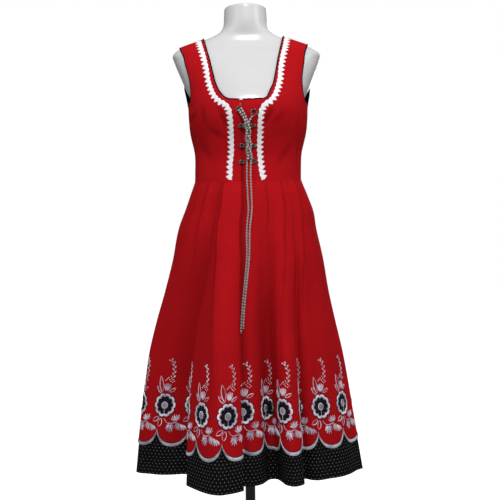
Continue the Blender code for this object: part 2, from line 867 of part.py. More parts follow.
def add_piping(name, line, finish, closed):
    """Round piping just outside the edge that a line of points follows."""
    middle, beyond, _ = line
    steps = np.roll(middle, -1, axis=0) - middle
    if not closed:
        steps[-1] = steps[-2]
    steps = unit(steps)
    along = unit(steps + np.roll(steps, 1, axis=0))
    if not closed:
        along[0] = steps[0]
    corner = np.clip(np.sum(along * steps, axis=1, keepdims=True), 0.6, 1.0)
    beyond = unit(beyond - along * np.sum(beyond * along, axis=1, keepdims=True))
    centres = middle + beyond * (PIPING_RADIUS + PIPING_GAP) / corner
    outs = unit(np.cross(along, beyond))
    return add_swept(name, centres, beyond, outs, PIPING_RADIUS, PIPING_RADIUS, 6, finish, closed)


def join_lines(*lines):
    """Join edge lines end to end, where each ends beside the next one's start."""
    joined = [values.copy() for values in lines[0]]
    for line in lines[1:]:
        for index, values in enumerate(line):
            joined[index][-1] = 0.5 * (joined[index][-1] + values[0])
            joined[index] = np.concatenate((joined[index], values[1:]))
    joined[1] = unit(joined[1])
    joined[2] = unit(joined[2])
    return joined


def turned(line):
    """An edge line from its other end."""
    return [values[::-1] for values in line]


def clear_scene():
    """Start from an empty scene."""
    for item in list(bpy.data.objects):
        bpy.data.objects.remove(item, do_unlink=True)


def make_form(finish):
    """The solid form, with a blind socket for the pole."""
    angles = np.arange(FORM_CORNERS) * 2.0 * math.pi / FORM_CORNERS
    rows = np.array(FORM_SECTIONS, dtype=float)
    rings = []
    for z, half_width, front, back, squareness, _ in rows:
        depth = np.where(np.sin(angles) < 0.0, front, back)
        power = 2.0 / squareness
        x = half_width * np.sign(np.cos(angles)) * np.abs(np.cos(angles)) ** power
        y = depth * np.sign(np.sin(angles)) * np.abs(np.sin(angles)) ** power
        rings.append(np.stack((x, y, np.full(x.shape, z)), axis=-1) * MM)
    circle = np.stack((np.cos(angles), np.sin(angles), 0.0 * angles), axis=-1) * SOCKET_RADIUS
    base = np.array((0.0, 0.0, rows[0, 0] * MM))
    top = np.array((0.0, 0.0, SOCKET_TOP_Z))
    rings = [circle + top, circle + base] + rings
    body = bmesh.new()
    loops = [[body.verts.new(Vector(point)) for point in ring] for ring in rings]
    for first, second in zip(loops, loops[1:]):
        for corner in range(FORM_CORNERS):
            following = (corner + 1) % FORM_CORNERS
            body.faces.new((first[corner], first[following], second[following], second[corner]))
    body.faces.new(loops[0])
    body.faces.new(loops[-1])
    bmesh.ops.recalc_face_normals(body, faces=body.faces)
    return add_mesh("dress_form", body, finish, 40.0)


def make_stand(finish):
    """The round pole, and the turned base with its collar."""
    top = SOCKET_TOP_Z - SEAM_GAP
    low = COLLAR_TOP + SEAM_GAP
    pole = bmesh.new()
    bmesh.ops.create_cone(pole, cap_ends=True, segments=24, radius1=POLE_RADIUS,
                          radius2=POLE_RADIUS, depth=top - low)
    bmesh.ops.translate(pole, verts=pole.verts, vec=(0.0, 0.0, 0.5 * (top + low)))
    add_mesh("stand_pole", pole, finish, upright=True)
    profile = ((0.0, 0.0), (BASE_RADIUS - 0.001, 0.0), (BASE_RADIUS, 0.001),
               (BASE_RADIUS, BASE_EDGE - 0.001), (BASE_RADIUS - 0.002, BASE_EDGE),
               (COLLAR_RADIUS + 0.006, BASE_HEIGHT), (COLLAR_RADIUS, BASE_HEIGHT + 0.004),
               (COLLAR_RADIUS, COLLAR_TOP - 0.002), (COLLAR_RADIUS - 0.002, COLLAR_TOP),
               (0.0, COLLAR_TOP))
    base = bmesh.new()
    corners = [base.verts.new((radius, 0.0, z)) for radius, z in profile]
    edges = [base.edges.new(pair) for pair in zip(corners, corners[1:])]
    bmesh.ops.spin(base, geom=corners + edges, cent=(0.0, 0.0, 0.0), axis=(0.0, 0.0, 1.0),
                   angle=2.0 * math.pi, steps=32, use_merge=True)
    bmesh.ops.remove_doubles(base, verts=base.verts, dist=0.00001)
    bmesh.ops.recalc_face_normals(base, faces=base.faces)
    add_mesh("stand_base", base, finish, 30.0, upright=True)


def make_bodice(red, black):
    """Two lapped fronts, the back, and the black lining that shows in the armholes."""
    left = front_sheets(-1.0, -OPENING_X, 3)
    right = front_sheets(1.0, UNDERLAP_X, 4)
    back_left = back_sheets(-1.0)
    back_right = back_sheets(1.0)
    items = [add_wall("bodice_front_left", left, red),
             add_wall("bodice_front_right", right, red),
             add_wall("bodice_back", back_left + back_right, red)]
    rows = slice(UNDERARM_ROW, UNDERARM_ROW + 4)
    for name, sheets in (("left", back_left), ("right", back_right)):
        net, normals = sheets[0]
        strip = (net - normals * (CLOTH + LINING_GAP))[rows, 0:4]
        strip[:, 0] += (strip[:, 1] - strip[:, 0]) * LINING_INSET
        add_wall("armhole_lining_" + name, [(strip, normals[rows, 0:4])], black, LINING)
    return items, (left, right, back_left, back_right)


def make_skirt(red, black):
    """Three skirt panels with scalloped edges over their black hem bands."""
    items = []
    panels = (("front_left", FRONT_LEFT_HEM, False, True, (0,)),
              ("front_right", FRONT_RIGHT_HEM, False, False, (-1,)),
              ("back", BACK_HEM, True, False, (0, -1)))
    for name, panel, back, raised, sides in panels:
        first = FIRST_POINT[name]
        items.append(add_wall("skirt_" + name, [skirt_wall(panel, first, back, raised, sides)], red))
        add_wall("hem_band_" + name, [band_wall(panel, first, back, raised, sides)], black)
    return items


def make_piping(walls, black):
    """Black piping round the neckline and both armholes."""
    left, right, back_left, back_right = walls
    neck_left = front_neck_line(left)
    neck_right = [values[1:] for values in front_neck_line(right)]
    add_piping("neck_piping", join_lines(neck_left, turned(back_neck_line(back_left)),
                                         back_neck_line(back_right), turned(neck_right)),
               black, False)
    for name, front, back in (("left", left, back_left), ("right", right, back_right)):
        line = join_lines(armhole_line(front), turned(armhole_line(back)))
        for values in line:
            values[0] = 0.5 * (values[0] + values[-1])
        line = [values[:-1] for values in line]
        line[1] = unit(line[1])
        add_piping("armhole_piping_" + name, line, black, True)


def make_trims(tree, walls, white):
    """Toothed white braid down each front, and round the back neckline."""
    for name, side in (("left", -1.0), ("right", 1.0)):
        places = [from_front(tree, (side * x + shift) * MM, z * MM) for x, z, shift in TRIM_PATH]
        for x, angle, shift in TRIM_STRAP:
            places.append(over_shoulder(tree, (side * x + shift) * MM, math.radians(angle)))
        points, normals = zip(*places)
        add_trim("trim_front_" + name, tree, points, normals, -side, white)
    back_left, back_right = walls[2:]
    middle, beyond, outs = join_lines(turned(back_neck_line(back_left)), back_neck_line(back_right))
    add_trim("trim_back", tree, middle - beyond * TRIM_INSET, outs, BACK_TOOTH_SIDE, white)


def surface_frame(tree, x, z):
    """Point on the front, with directions across, up and out of the cloth."""
    place, normal = from_front(tree, x, z)
    across = unit(np.cross(np.array((0.0, 0.0, 1.0)), normal))
    across = across * np.sign(across[0])
    upwards = unit(np.cross(normal, across))
    return place, across, upwards * np.sign(upwards[2]), normal


def make_eyes(tree, silver):
    """Metal eyes for the lacing, and the wire hook at the neckline's notch."""
    turns = np.arange(EYE_POINTS) * 2.0 * math.pi / EYE_POINTS
    for name, x, z, width, height, seat_x in LACE_EYES:
        seat, across, upwards, normal = surface_frame(tree, seat_x * MM, z * MM)
        centre = seat + across * (x - seat_x) * MM + normal * (LAP_GAP + EYE_WIRE_HEIGHT)
        inner_width = 0.5 * width * MM - EYE_WIRE_WIDTH
        inner_height = 0.5 * height * MM - EYE_WIRE_WIDTH
        points = np.array([centre + across * inner_width * math.cos(turn)
                           + upwards * inner_height * math.sin(turn) for turn in turns])
        along = unit(np.roll(points, -1, axis=0) - np.roll(points, 1, axis=0))
        outs = np.tile(normal, (EYE_POINTS, 1))
        add_swept("lace_eye_" + name, points, unit(np.cross(along, outs)), outs,
                  EYE_WIRE_WIDTH, EYE_WIRE_HEIGHT, EYE_CORNERS, silver, True)
    seat, across, upwards, normal = surface_frame(tree, (HOOK_X - 4.0) * MM, HOOK_Z * MM)
    centre = seat + across * 4.0 * MM + normal * (LAP_GAP + 0.5 * MM)
    points = np.array([centre + across * 1.6 * MM * math.cos(turn)
                       + upwards * 3.2 * MM * math.sin(turn) for turn in turns])
    along = unit(np.roll(points, -1, axis=0) - np.roll(points, 1, axis=0))
    outs = np.tile(normal, (EYE_POINTS, 1))
    add_swept("closing_hook", points, unit(np.cross(along, outs)), outs,
              0.5 * MM, 0.5 * MM, 4, silver, True)


def make_lacing(tree, skirt_tree, silver):
    """Three plaited strands between the eyes, and the two ends that hang down the skirt."""
    share = np.linspace(0.0, 1.0, PLAIT_POINTS)
    turn = 2.0 * math.pi * PLAIT_TURNS / 3.0 * share
    axis_x = PLAIT_TOP[0] + (PLAIT_LOW[0] - PLAIT_TOP[0]) * share
    axis_z = PLAIT_TOP[1] + (PLAIT_LOW[1] - PLAIT_TOP[1]) * share
    frames = [surface_frame(tree, x, z) for x, z in zip(axis_x, axis_z)]
    places, acrosses, _, normals = (np.array(values) for values in zip(*frames))
    leads = {
        "left": ((-23.5, 1188.0, 5.9), (-17.5, 1179.0, 7.2), (-11.5, 1170.0, 8.0)),
        "middle": ((-17.0, 1191.0, 7.2), (-12.3, 1182.5, 7.4), (-6.6, 1172.0, 8.0)),
        "right": ((9.6, 1173.5, 6.6), (6.4, 1168.5, 7.4)),
    }
    phases = {"left": 240.0, "middle": 0.0, "right": 120.0}
    ends = {}
    for name, lead in leads.items():
        phase = math.radians(phases[name])
        across = PLAIT_WIDTH * np.sin(turn + phase)
        depth = PLAIT_DEPTH * np.sin(2.0 * (turn + phase))
        strand = places + acrosses * across[:, None] + normals * (PLAIT_LIFT + depth)[:, None]
        start = []
        for x, z, lift in lead:
            place, _, _, normal = surface_frame(tree, x * MM, z * MM)
            start.append(place + normal * lift * MM)
        points = np.concatenate((np.array(start), strand))
        add_cord("lacing_" + name, points, silver, resolution=1)
        ends[name] = strand[-1]
    table = np.array(LACE_END_PATH)
    heights = np.linspace(table[0, 1], table[-1, 1], LACE_END_POINTS)
    line = smooth_table(-table[:, 1], table, -heights) * MM
    for name, side in (("left", -1.0), ("right", 1.0)):
        points = []
        for x, z in line:
            seam = waist_height(x)
            level = min(z, seam - SEAM_GAP) if z < seam else max(z, seam + SEAM_GAP)
            place, _ = from_front(skirt_tree if z < seam else tree, x + side * LACE_END_APART, level)
            place[2] = z
            lift = LACE_END_LIFT + (PLAIT_LIFT - LACE_END_LIFT) * smooth_step(z, 0.96, 1.066)
            points.append(place + np.array((0.0, -lift, 0.0)))
        points = np.array(points)
        points[1:-1] = 0.25 * points[:-2] + 0.5 * points[1:-1] + 0.25 * points[2:]
        if name == "right":
            points = points[:-1]
        add_cord("lace_end_" + name, points, silver)


def main():
    """Build the whole dress on its form and stand."""
    clear_scene()
    red = material("red_cloth", (0.47, 0.010, 0.016), 0.75)
    black = material("black_cloth", (0.012, 0.012, 0.014), 0.8)
    white = material("white_braid", (0.80, 0.80, 0.83), 0.7)
    silver = material("antique_silver", (0.42, 0.41, 0.38), 0.4, 0.8)
    shell = material("white_shell", (0.78, 0.78, 0.79), 0.35)
    iron = material("dark_iron", (0.03, 0.03, 0.032), 0.45, 0.7)
    make_form(shell)
    make_stand(iron)
    bodice, walls = make_bodice(red, black)
    skirt = make_skirt(red, black)
    tree = face_tree(bodice)
    skirt_tree = face_tree(skirt)
    make_piping(walls, black)
    make_trims(tree, walls, white)
    make_eyes(tree, silver)
    make_lacing(tree, skirt_tree, silver)


main()
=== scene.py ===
"""Looks of a red dirndl with an embroidered skirt, worn on a white dress form with a round stand."""
import math

import bmesh
import bpy
import numpy as np
from mathutils import Matrix, Vector
from mathutils.bvhtree import BVHTree


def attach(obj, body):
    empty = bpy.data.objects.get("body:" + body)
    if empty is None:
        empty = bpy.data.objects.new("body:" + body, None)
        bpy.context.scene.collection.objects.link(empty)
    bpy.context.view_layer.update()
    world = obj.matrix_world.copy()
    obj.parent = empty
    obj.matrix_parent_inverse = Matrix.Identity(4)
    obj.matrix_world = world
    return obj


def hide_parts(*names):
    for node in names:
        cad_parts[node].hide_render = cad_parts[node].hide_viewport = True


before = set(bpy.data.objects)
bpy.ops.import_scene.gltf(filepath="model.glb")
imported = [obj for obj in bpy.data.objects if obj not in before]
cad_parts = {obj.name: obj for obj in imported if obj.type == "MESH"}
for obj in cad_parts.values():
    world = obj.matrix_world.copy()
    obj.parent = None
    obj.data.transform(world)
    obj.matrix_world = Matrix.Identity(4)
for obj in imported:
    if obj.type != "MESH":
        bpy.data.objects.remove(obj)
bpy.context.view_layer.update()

MM = 0.001

# View: the camera stands square to the dress's middle, turned a little on its own axis
VIEW_DISTANCE = 2.2
VIEW_HEIGHT = 0.84
VIEW_SIDE = 0.006
VIEW_LENS = 60.0
VIEW_ROLL = -0.0112

# Cloth walls, and their room over what they lie on
CLOTH = 1.6 * MM
LINING = 1.1 * MM
LINING_GAP = 0.9 * MM
LAP_GAP = 0.5 * MM
SEAM_GAP = 0.4 * MM
BODY_EASE = 2.4 * MM
SHOULDER_EASE = 1.9 * MM
LAP_LIFT = CLOTH + 0.8 * MM
SIDE_REACH = 0.5 * MM
WORN_SHIFT = -7.6 * MM

# Heights between which the worn dress shifts to one side, and between which the straps rest closer
WORN_RISE = (1.190, 1.240)
STRAP_RISE = (1.338, 1.372)

# How the figure and the dress are searched: steps, rounds and the lengths of rays
SLOPE_STEP = 0.5 * MM
SETTLE_ROUNDS = 3
HALVINGS = 40
SHOULDER_REACH = 0.16
SEEK_FRONT = 1.0
SEEK_SHOULDER = 0.3
SEEK_LIFT = 3.0 * MM

# Heights of the seams
WAIST_FRONT_Z = 1.013
WAIST_SIDE_RISE = 0.007
WAIST_TILT = 0.0118
HEM_Z = 0.259
HEM_TILT = 0.0035
SHOULDER_AXIS_Z = 1.300

# Front opening, as distances from the centre line; LAP_RISE is where the left front rises over the right
OPENING_X = -0.018
UNDERLAP_X = -0.035
LAP_RISE = (-0.090, -0.056)

# Skirt border, with the powers that shape a scallop
SCALLOP_PITCH = 0.088
SCALLOP_LOW = 0.075
SCALLOP_DEPTH = 0.034
SCALLOP_SQUARENESS = 2.2
SCALLOP_RISE = 0.6
BAND_HEIGHT = 0.130

# Stand, with its rounded corners as millimetres out from a radius and up from a height
POLE_RADIUS = 0.013
SOCKET_RADIUS = 0.0135
SOCKET_TOP_Z = 0.900
BASE_RADIUS = 0.160
BASE_EDGE = 0.008
BASE_HEIGHT = 0.016
COLLAR_RADIUS = 0.024
COLLAR_TOP = 0.040
LOW_CORNER = ((-1.0, 0.0), (-0.3, 0.3), (0.0, 1.0))
TOP_CORNER = ((0.0, -2.0), (-0.6, -0.6), (-2.0, 0.0))
COLLAR_FOOT = ((6.0, 0.0), (1.6, 1.2), (0.0, 4.0))
POLE_STEPS = 64
BASE_STEPS = 128

# The form's level sections in millimetres; ease is how much wider the bodice is cut at its sides
# Columns: z, half_width, front, back, squareness, ease
FORM_SECTIONS = (
    (830, 150, 90, 98, 2.3, 0),
    (865, 156, 92, 103, 2.3, 0),
    (905, 155, 92, 104, 2.3, 0),
    (950, 147, 91, 102, 2.2, 0),
    (1000, 138.5, 91, 97, 2.2, 0),
    (1020, 136, 91, 93, 2.2, 0),
    (1050, 135.5, 91, 91, 2.2, 0),
    (1080, 135.8, 94, 91, 2.2, 0),
    (1095, 137, 98, 92, 2.2, 0),
    (1110, 140, 103, 94, 2.2, 0),
    (1130, 145, 111, 97, 2.2, 0),
    (1150, 149, 121, 100, 2.25, 0),
    (1185, 149, 134, 104, 2.3, 3),
    (1217, 146.5, 134, 107, 2.3, 7),
    (1236, 150, 127, 108, 2.3, 6.5),
    (1257, 160, 117, 108, 2.3, 1),
    (1280, 169, 107, 105, 2.3, 0),
    (1300, 177, 98, 100, 2.35, 0),
    (1320, 185, 88.5, 95, 2.4, 0),
    (1335, 190, 80, 90, 2.5, 0),
    (1352, 194, 70, 80, 2.6, 0),
    (1360, 188, 62, 72, 2.6, 0),
    (1370, 172, 55, 65, 2.5, 0),
    (1380, 145, 50, 60, 2.4, 0),
    (1390, 117, 48, 56, 2.3, 0),
    (1400, 90, 47, 54, 2.2, 0),
    (1410, 72, 50, 53, 2.1, 0),
    (1420, 63, 53, 54, 2.0, 0),
    (1434, 58, 55.5, 55.5, 2.0, 0),
    (1482, 56, 56, 56, 2.0, 0),
    (1487, 53, 53, 53, 2.0, 0),
)
SECTION_UNITS = (MM, MM, MM, 1.0, MM)

# The bodice's rows in millimetres, from the armhole or side seam inwards. Below the neckline a front
# row has three heights: outer, at the neckline's corner, and at the opening.
# A row over the shoulder gives angles in degrees round the shoulder axis in place of heights.
SIDE = None
# Columns: outer_x, outer_z, corner_z, opening_z
FRONT_ROWS = (
    (SIDE, 1050, 1050, 1050),
    (SIDE, 1085, 1085, 1085),
    (SIDE, 1120, 1118, 1118),
    (SIDE, 1155, 1148, 1146),
    (SIDE, 1190, 1172, 1169),
    (SIDE, 1217.5, 1190, 1186),
    (144.5, 1221, 1202, 1199),
    (140, 1238, 1213, 1211),
)
# Columns: outer_x, outer_z, neck_x, neck_z
FRONT_UPPER_ROWS = (
    (139.5, 1258, 54, 1219),
    (140.5, 1278, 61, 1230),
    (144, 1298, 72, 1253),
    (148.5, 1318, 81, 1290),
)
# Columns: outer_x, outer_angle, neck_x, neck_angle
FRONT_STRAP = (
    (155, 42, 89, 19),
    (158.5, 50, 93, 31),
    (161, 58, 96.5, 43),
    (162.5, 66, 99.5, 54),
    (164, 74, 102, 64),
    (165, 81, 104.5, 74),
    (165, 88, 106, 83.5),
    (165, 94, 106.7, 91.7),
    (165, 99.87, 107, 99.87),
)
BACK_ROWS = (
    (SIDE, 1050, 0, 1050),
    (SIDE, 1085, 0, 1085),
    (SIDE, 1120, 0, 1120),
    (SIDE, 1155, 0, 1155),
    (SIDE, 1190, 0, 1190),
    (SIDE, 1217.5, 0, 1222),
    (160, 1226, 0, 1246),
    (161, 1242, 0, 1267),
    (161.5, 1262, 0, 1285),
    (162, 1283, 0, 1300),
    (163, 1303, 34, 1303),
    (164.5, 1322, 62, 1314),
)
BACK_STRAP = (
    (166, 138, 84, 154),
    (166, 131, 90, 145),
    (166, 124, 96, 136),
    (165.8, 117.5, 100.5, 126.5),
    (165.5, 111, 104, 117),
    (165.2, 105.5, 106, 108.5),
    (165, 100.13, 107, 100.13),
)
UNDERARM_ROW = 6
BACK_NECK_ROW = 10
CORNER_X = 0.045

# How the skirt widens from waist to hem, in millimetres; folds is the share of the hem's folds
# Columns: drop, half_width, front, back, folds
DRAPE = (
    (0.00, 140, 97, 98, 0.00),
    (0.06, 157, 103, 105, 0.03),
    (0.115, 171.6, 108, 112, 0.07),
    (0.17, 182, 113, 118, 0.12),
    (0.27, 198, 121, 129, 0.22),
    (0.375, 215, 130, 139, 0.38),
    (0.48, 235, 139, 147, 0.55),
    (0.58, 253, 146, 155, 0.68),
    (0.69, 267, 152.5, 162.5, 0.80),
    (0.80, 279, 158, 168, 0.88),
    (0.90, 290, 162, 172, 0.94),
    (1.00, 300, 166, 176, 1.00),
)
DRAPE_UNITS = (MM, MM, MM, 1.0)

# The hem seen from above in millimetres, and where each fold starts at the waist seam
# Columns: hem_x, hem_y, waist_x
FRONT_LEFT_HEM = (
    (-303, 0, -140),
    (-292, -14, -138),
    (-268, -23, -133),
    (-234, -36, -122),
    (-204, -37, -108),
    (-178, -33, -94),
    (-146, -40, -80),
    (-128, -66, -71),
    (-150, -100, -66),
    (-160, -128, -62),
    (-142, -160, -56),
    (-117, -194, -49),
    (-90, -219, -42),
    (-72, -225, -36),
    (-48, -216, -28),
    (-28, -203, -22),
    (-13, -189, -18),
)
FRONT_RIGHT_HEM = (
    (-36, -146, -38),
    (-12, -154, -20),
    (12, -152, 4),
    (32, -136, 18),
    (44, -110, 27),
    (54, -93, 35),
    (64, -92, 41),
    (76, -114, 49),
    (90, -150, 60),
    (108, -163, 74),
    (124, -156, 84),
    (136, -140, 91),
    (137.5, -119, 95),
    (133.5, -103, 98),
    (139, -93, 101),
    (151, -104, 105),
    (170, -110, 112),
    (200, -96, 121),
    (232, -80, 129),
    (262, -50, 135),
    (285, -14, 139),
    (299, 0, 140),
)
BACK_HEM = (
    (299, 0, 140),
    (292, 38, 139),
    (266, 66, 135),
    (232, 80, 126),
    (200, 92, 114),
    (180, 122, 103),
    (164, 157.5, 92),
    (136, 182, 80),
    (104, 182, 66),
    (84, 152, 54),
    (62, 126, 42),
    (34, 124, 28),
    (12, 150, 14),
    (-10, 183, -2),
    (-44, 198, -20),
    (-78, 187, -38),
    (-97, 158, -52),
    (-114, 128, -64),
    (-140, 124, -78),
    (-160, 148, -90),
    (-184, 168, -102),
    (-214, 158, -114),
    (-236, 120, -124),
    (-256, 84, -131),
    (-286, 46, -138),
    (-303, 0, -140),
)
HEM_PARTS = 600

# How far the figure and the dress stand off the pole's line at each height, in millimetres
# Columns: z, shift
LEAN = (
    (255, 0),
    (330, -2.5),
    (400, -4.5),
    (500, -6),
    (600, -7.5),
    (655, -7),
    (735, -4),
    (815, 0),
    (905, 0),
    (940, 4),
    (980, 4),
    (1020, 3),
    (1080, 4),
    (1180, 5),
    (1250, 4.5),
    (1300, 3.5),
    (1350, 2.5),
    (1400, 1.5),
    (1487, 1.5),
)

# The braid trim's centre line up a front in millimetres, and how far the worn dress shifts it
# Columns: distance from the middle, z, shift
TRIM_PATH = (
    (43.5, 1018, -3.3),
    (41.0, 1031, -4.5),
    (39.0, 1054, -6.4),
    (35.5, 1090, -6.6),
    (36.0, 1128, -6.6),
    (37.8, 1166, -6.6),
    (41.5, 1188, -6.6),
    (50.0, 1201, -6.6),
    (63.0, 1209.5, -7.0),
    (75.0, 1224, -8.0),
    (84.5, 1246, -8.6),
    (90.7, 1270, -8.6),
    (94.0, 1297, -8.6),
)
# Its run over the shoulder, with angles in degrees round the shoulder axis
# Columns: distance from the middle, angle, shift
TRIM_STRAP = (
    (101.0, 22, -8.6),
    (106.5, 38, -8.6),
    (111.0, 54, -8.6),
    (115.0, 70, -8.6),
    (117.5, 84, -8.6),
    (118.7, 99.4, -8.6),
)
BACK_TOOTH_SIDE = -1.0

# Lacing eyes on the front, in millimetres; seat_x is where each is sewn down
# Columns: name, x, z, width, height, seat_x
LACE_EYES = (
    ("left_1", -23.5, 1188, 15, 15, -23.5),
    ("right_1", 14.5, 1180.5, 20, 20, 14.5),
    ("left_2", -17.5, 1150, 18, 14, -25),
    ("right_2", 11, 1150, 16, 13, 14),
    ("left_3", -16, 1103.5, 18, 14, -25),
    ("right_3", 13, 1102.5, 17, 13, 16),
    ("left_4", -17, 1062.5, 18, 13, -25),
    ("right_4", 15, 1064.5, 17, 15, 18),
)
PLAIT_TOP = (-2.4 * MM, 1.1612)
PLAIT_LOW = (2.8 * MM, 1.0690)
PLAIT_LIFT = 8.2 * MM

# Centre line of the two hanging lace ends, in millimetres
# Columns: x, z
LACE_END_PATH = (
    (2.2, 1066),
    (2.0, 1052),
    (1.9, 1030),
    (2.2, 1000),
    (2.9, 960),
    (3.6, 925),
    (2.8, 880),
    (1.2, 830),
    (-1.6, 780),
    (-4.6, 730),
    (-6.8, 690),
    (-8.2, 655),
    (-8.8, 634),
)
LACE_END_POINTS = 40

# How finely the cloth is drawn, as parts of each span of its tables
ROW_PARTS = 6
OUTER_PARTS = 30
INNER_PARTS = 12
BACK_PARTS = 36
LINING_PARTS = 13
LINING_ROWS = 3
COLUMN_PARTS = 24
SKIRT_PARTS = 96
BAND_PARTS = 22
CLOTH_SHOWN = 1.2 * MM
WELD = 0.02 * MM
LEAST_COLUMN = 0.3 * MM
FACE_STEP = 1.0 * MM

# Darts and creases in the bodice's fronts, in millimetres; x is measured from the middle outwards
# Columns: side, x0, z0, x1, z1, depth, spread
BODICE_CREASES = (
    (-1.0, 72, 1195, 53, 1145, 3.2, 4.6),
    (1.0, 60, 1190, 38, 1152, 3.2, 4.6),
    (1.0, 128, 1205, 124, 1022, 1.0, 2.2),
    (-1.0, 146, 1171, 130, 1192, 2.4, 4.0),
    (-1.0, 115, 1200, 112, 1160, 2.0, 6.0),
    (-1.0, 53, 1145, 60, 1030, 0.8, 2.2),
    (1.0, 39, 1175, 52, 1030, 0.8, 2.2),
    (-1.0, 122, 1120, 88, 1060, 1.6, 9.0),
    (1.0, 108, 1110, 76, 1055, 1.6, 9.0),
    (-1.0, 100, 1150, 64, 1120, 1.4, 7.0),
    (1.0, 96, 1185, 60, 1150, 1.2, 8.0),
)
# A crease fades towards its ends as a sine does, from a start share and over a run
CREASE_START = 0.12
CREASE_RUN = 0.82
# Shade in the creases and beside the opening, and what is left of the latter above some heights
DARKEST_CREASE = 3.4 * MM
CREASE_DARK = 0.85
SHADE_WIDE = 9.0 * MM
SHADE_RISE = (1.05, 1.09)
SHADE_HIGH = 0.3

# Knife pleats at the waist, in millimetres; facing is the side that the top layer lies on
# Columns: edge_x at the waist, edge_x half way down, facing, depth, reach, shade's width, shade's darkness
FRONT_PLEATS = (
    (-122, -122, 1.0, 2.4, 0.30, 4, 0.3),
    (-97.5, -101, 1.0, 3.2, 0.50, 5, 0.5),
    (-59, -45, 1.0, 4.4, 0.90, 16, 0.5),
    # This row has no depth and is no pleat: it only paints shade beside the front opening, where the left
    # front laps over
    (-17.5, -17.5, -1.0, 0.0, 1.60, 11, 1.0),
    (41, 37, -1.0, 3.2, 0.80, 4, 0.5),
    (80, 65, -1.0, 3.2, 0.90, 3.5, 0.6),
    (118, 104, -1.0, 2.4, 0.80, 4, 0.5),
)
BACK_PLEATS = (
    (-118, -112, -1.0, 2.4, 0.40, 4, 0.5),
    (-84, -80, -1.0, 3.2, 0.50, 5, 0.6),
    (-42, -44, -1.0, 3.6, 0.60, 6, 0.6),
    (0, 4, 1.0, 3.6, 0.70, 6, 0.6),
    (42, 46, 1.0, 3.6, 0.60, 6, 0.6),
    (84, 82, 1.0, 3.2, 0.50, 5, 0.6),
    (118, 112, 1.0, 2.4, 0.40, 4, 0.5),
)
# The top layer sinks away over its tail, rises at its edge, and fades after a share of its reach
PLEAT_TAIL = 22.0
PLEAT_EDGE = 1.2
PLEAT_WHOLE = 0.25
PLEAT_AT_SEAM = 0.3
PLEAT_START = 0.04
EDGE_RUN = 0.6
TOP_LAYER_SHADE = 0.6
# Shade in the valleys of the hem's folds: nearer the pole than this share of the hem, and how dark
VALLEY_REACH = 0.97
VALLEY_DARK = 1.2
VALLEY_MOST = 0.6
VALLEY_DROPS = (0.05, 0.4)
# How far painted shade in folds, creases and beside the opening darkens the cloth, and its darkest colour as
# a share of the cloth's shade colour
FOLD_DARK = 0.62
FOLD_TONE = 0.3
# Fine soft folds between the pleats
SOFT_FOLD = 1.6 * MM
SOFT_TURNS = 2.0 * math.pi / 0.033
SOFT_DROPS = (0.04, 0.5)

# The waist seam: its half width and squareness, and how the skirt's top edge sits under the bodice
WAIST_HALF = 0.140
WAIST_SQUARENESS = 1.1
SEAM_REACH = 0.035
SEAM_FLUSH = 1.9 * MM
BACK_FLUSH = 0.7 * SEAM_FLUSH
SEAM_TUCK = 1.6 * MM

# How the right front's free edge is carried on behind the left front, more near the hem
UNDER_REACH = 0.026
UNDER_PARTS = 5
UNDER_COLUMN = 4
UNDER_MOST = 1.04
UNDER_RISE = (0.60, 0.95)

# Each skirt panel: its hem and pleats, the way it faces, whether it laps over, its net's columns at
# side seams, the distance of its first scallop point, and how its top edge sits at the waist seam
PANELS = {
    "front_left": {"hem": FRONT_LEFT_HEM, "pleats": FRONT_PLEATS, "facing": -1.0, "lapped": True,
                   "seams": (0,), "first_point": 0.064, "flush": SEAM_FLUSH, "tuck": 0.0},
    "front_right": {"hem": FRONT_RIGHT_HEM, "pleats": FRONT_PLEATS, "facing": -1.0, "lapped": False,
                    "seams": (-1,), "first_point": 0.009, "flush": SEAM_FLUSH, "tuck": 0.0},
    "back": {"hem": BACK_HEM, "pleats": BACK_PLEATS, "facing": 1.0, "lapped": False,
             "seams": (0, -1), "first_point": 0.0127, "flush": BACK_FLUSH, "tuck": SEAM_TUCK},
}
SIDES = {"left": -1.0, "right": 1.0}

# Piping
PIPING_SEAT = 0.2 * MM
PIPING_SHOWN = 1.6 * MM
PIPING_CORNERS = 12
RIGHT_NECK_START = 4

# Toothed braid
TOOTH_PITCH = 0.0126
TOOTH_LEAN = 0.62
TOOTH_SHOWN = 8.8 * MM
TOOTH_INSET = 0.55
TRIM_INSET = 0.0110
TRIM_HALF = 7.0 * MM
TRIM_STEP = 0.9 * MM
TRIM_COLUMNS = 13
TRIM_WAVE = 1.7 * MM
TRIM_SLANT = 0.7
TRIM_LOW = 0.35 * MM
TRIM_DOME = 0.35 * MM
TRIM_RIDGE = 0.15
TRIM_THICK = 0.3 * MM

# Lacing eyes and the hook at the top of the opening, whose place is in millimetres
EYE_PARTS = 64
EYE_TURNS = np.arange(EYE_PARTS) * 2.0 * math.pi / EYE_PARTS
EYE_CORNERS = 12
EYE_LIFT = 1.2 * MM
EYE_POINT = 0.55
EYE_WIRE = 2.4 * MM
EYE_TWIST = 4.4 * MM
HOOK_X = -18.3
HOOK_Z = 1199.5
HOOK_OUT = 4.0
HOOK_WIRE = 0.5 * MM
HOOK_HALF_WIDTH = 1.6 * MM
HOOK_HALF_HEIGHT = 3.2 * MM
HOOK_CORNERS = 8

# Twisted cord of the lacing: its plait, and its ends, which lie closer below the waist
CORD_SHOWN = 2.3 * MM
CORD_RING = 0.8 * MM
CORD_CORNERS = 16
CORD_TWIST = 7.4 * MM
STRANDS = 2
STRAND_SHARE = 0.50
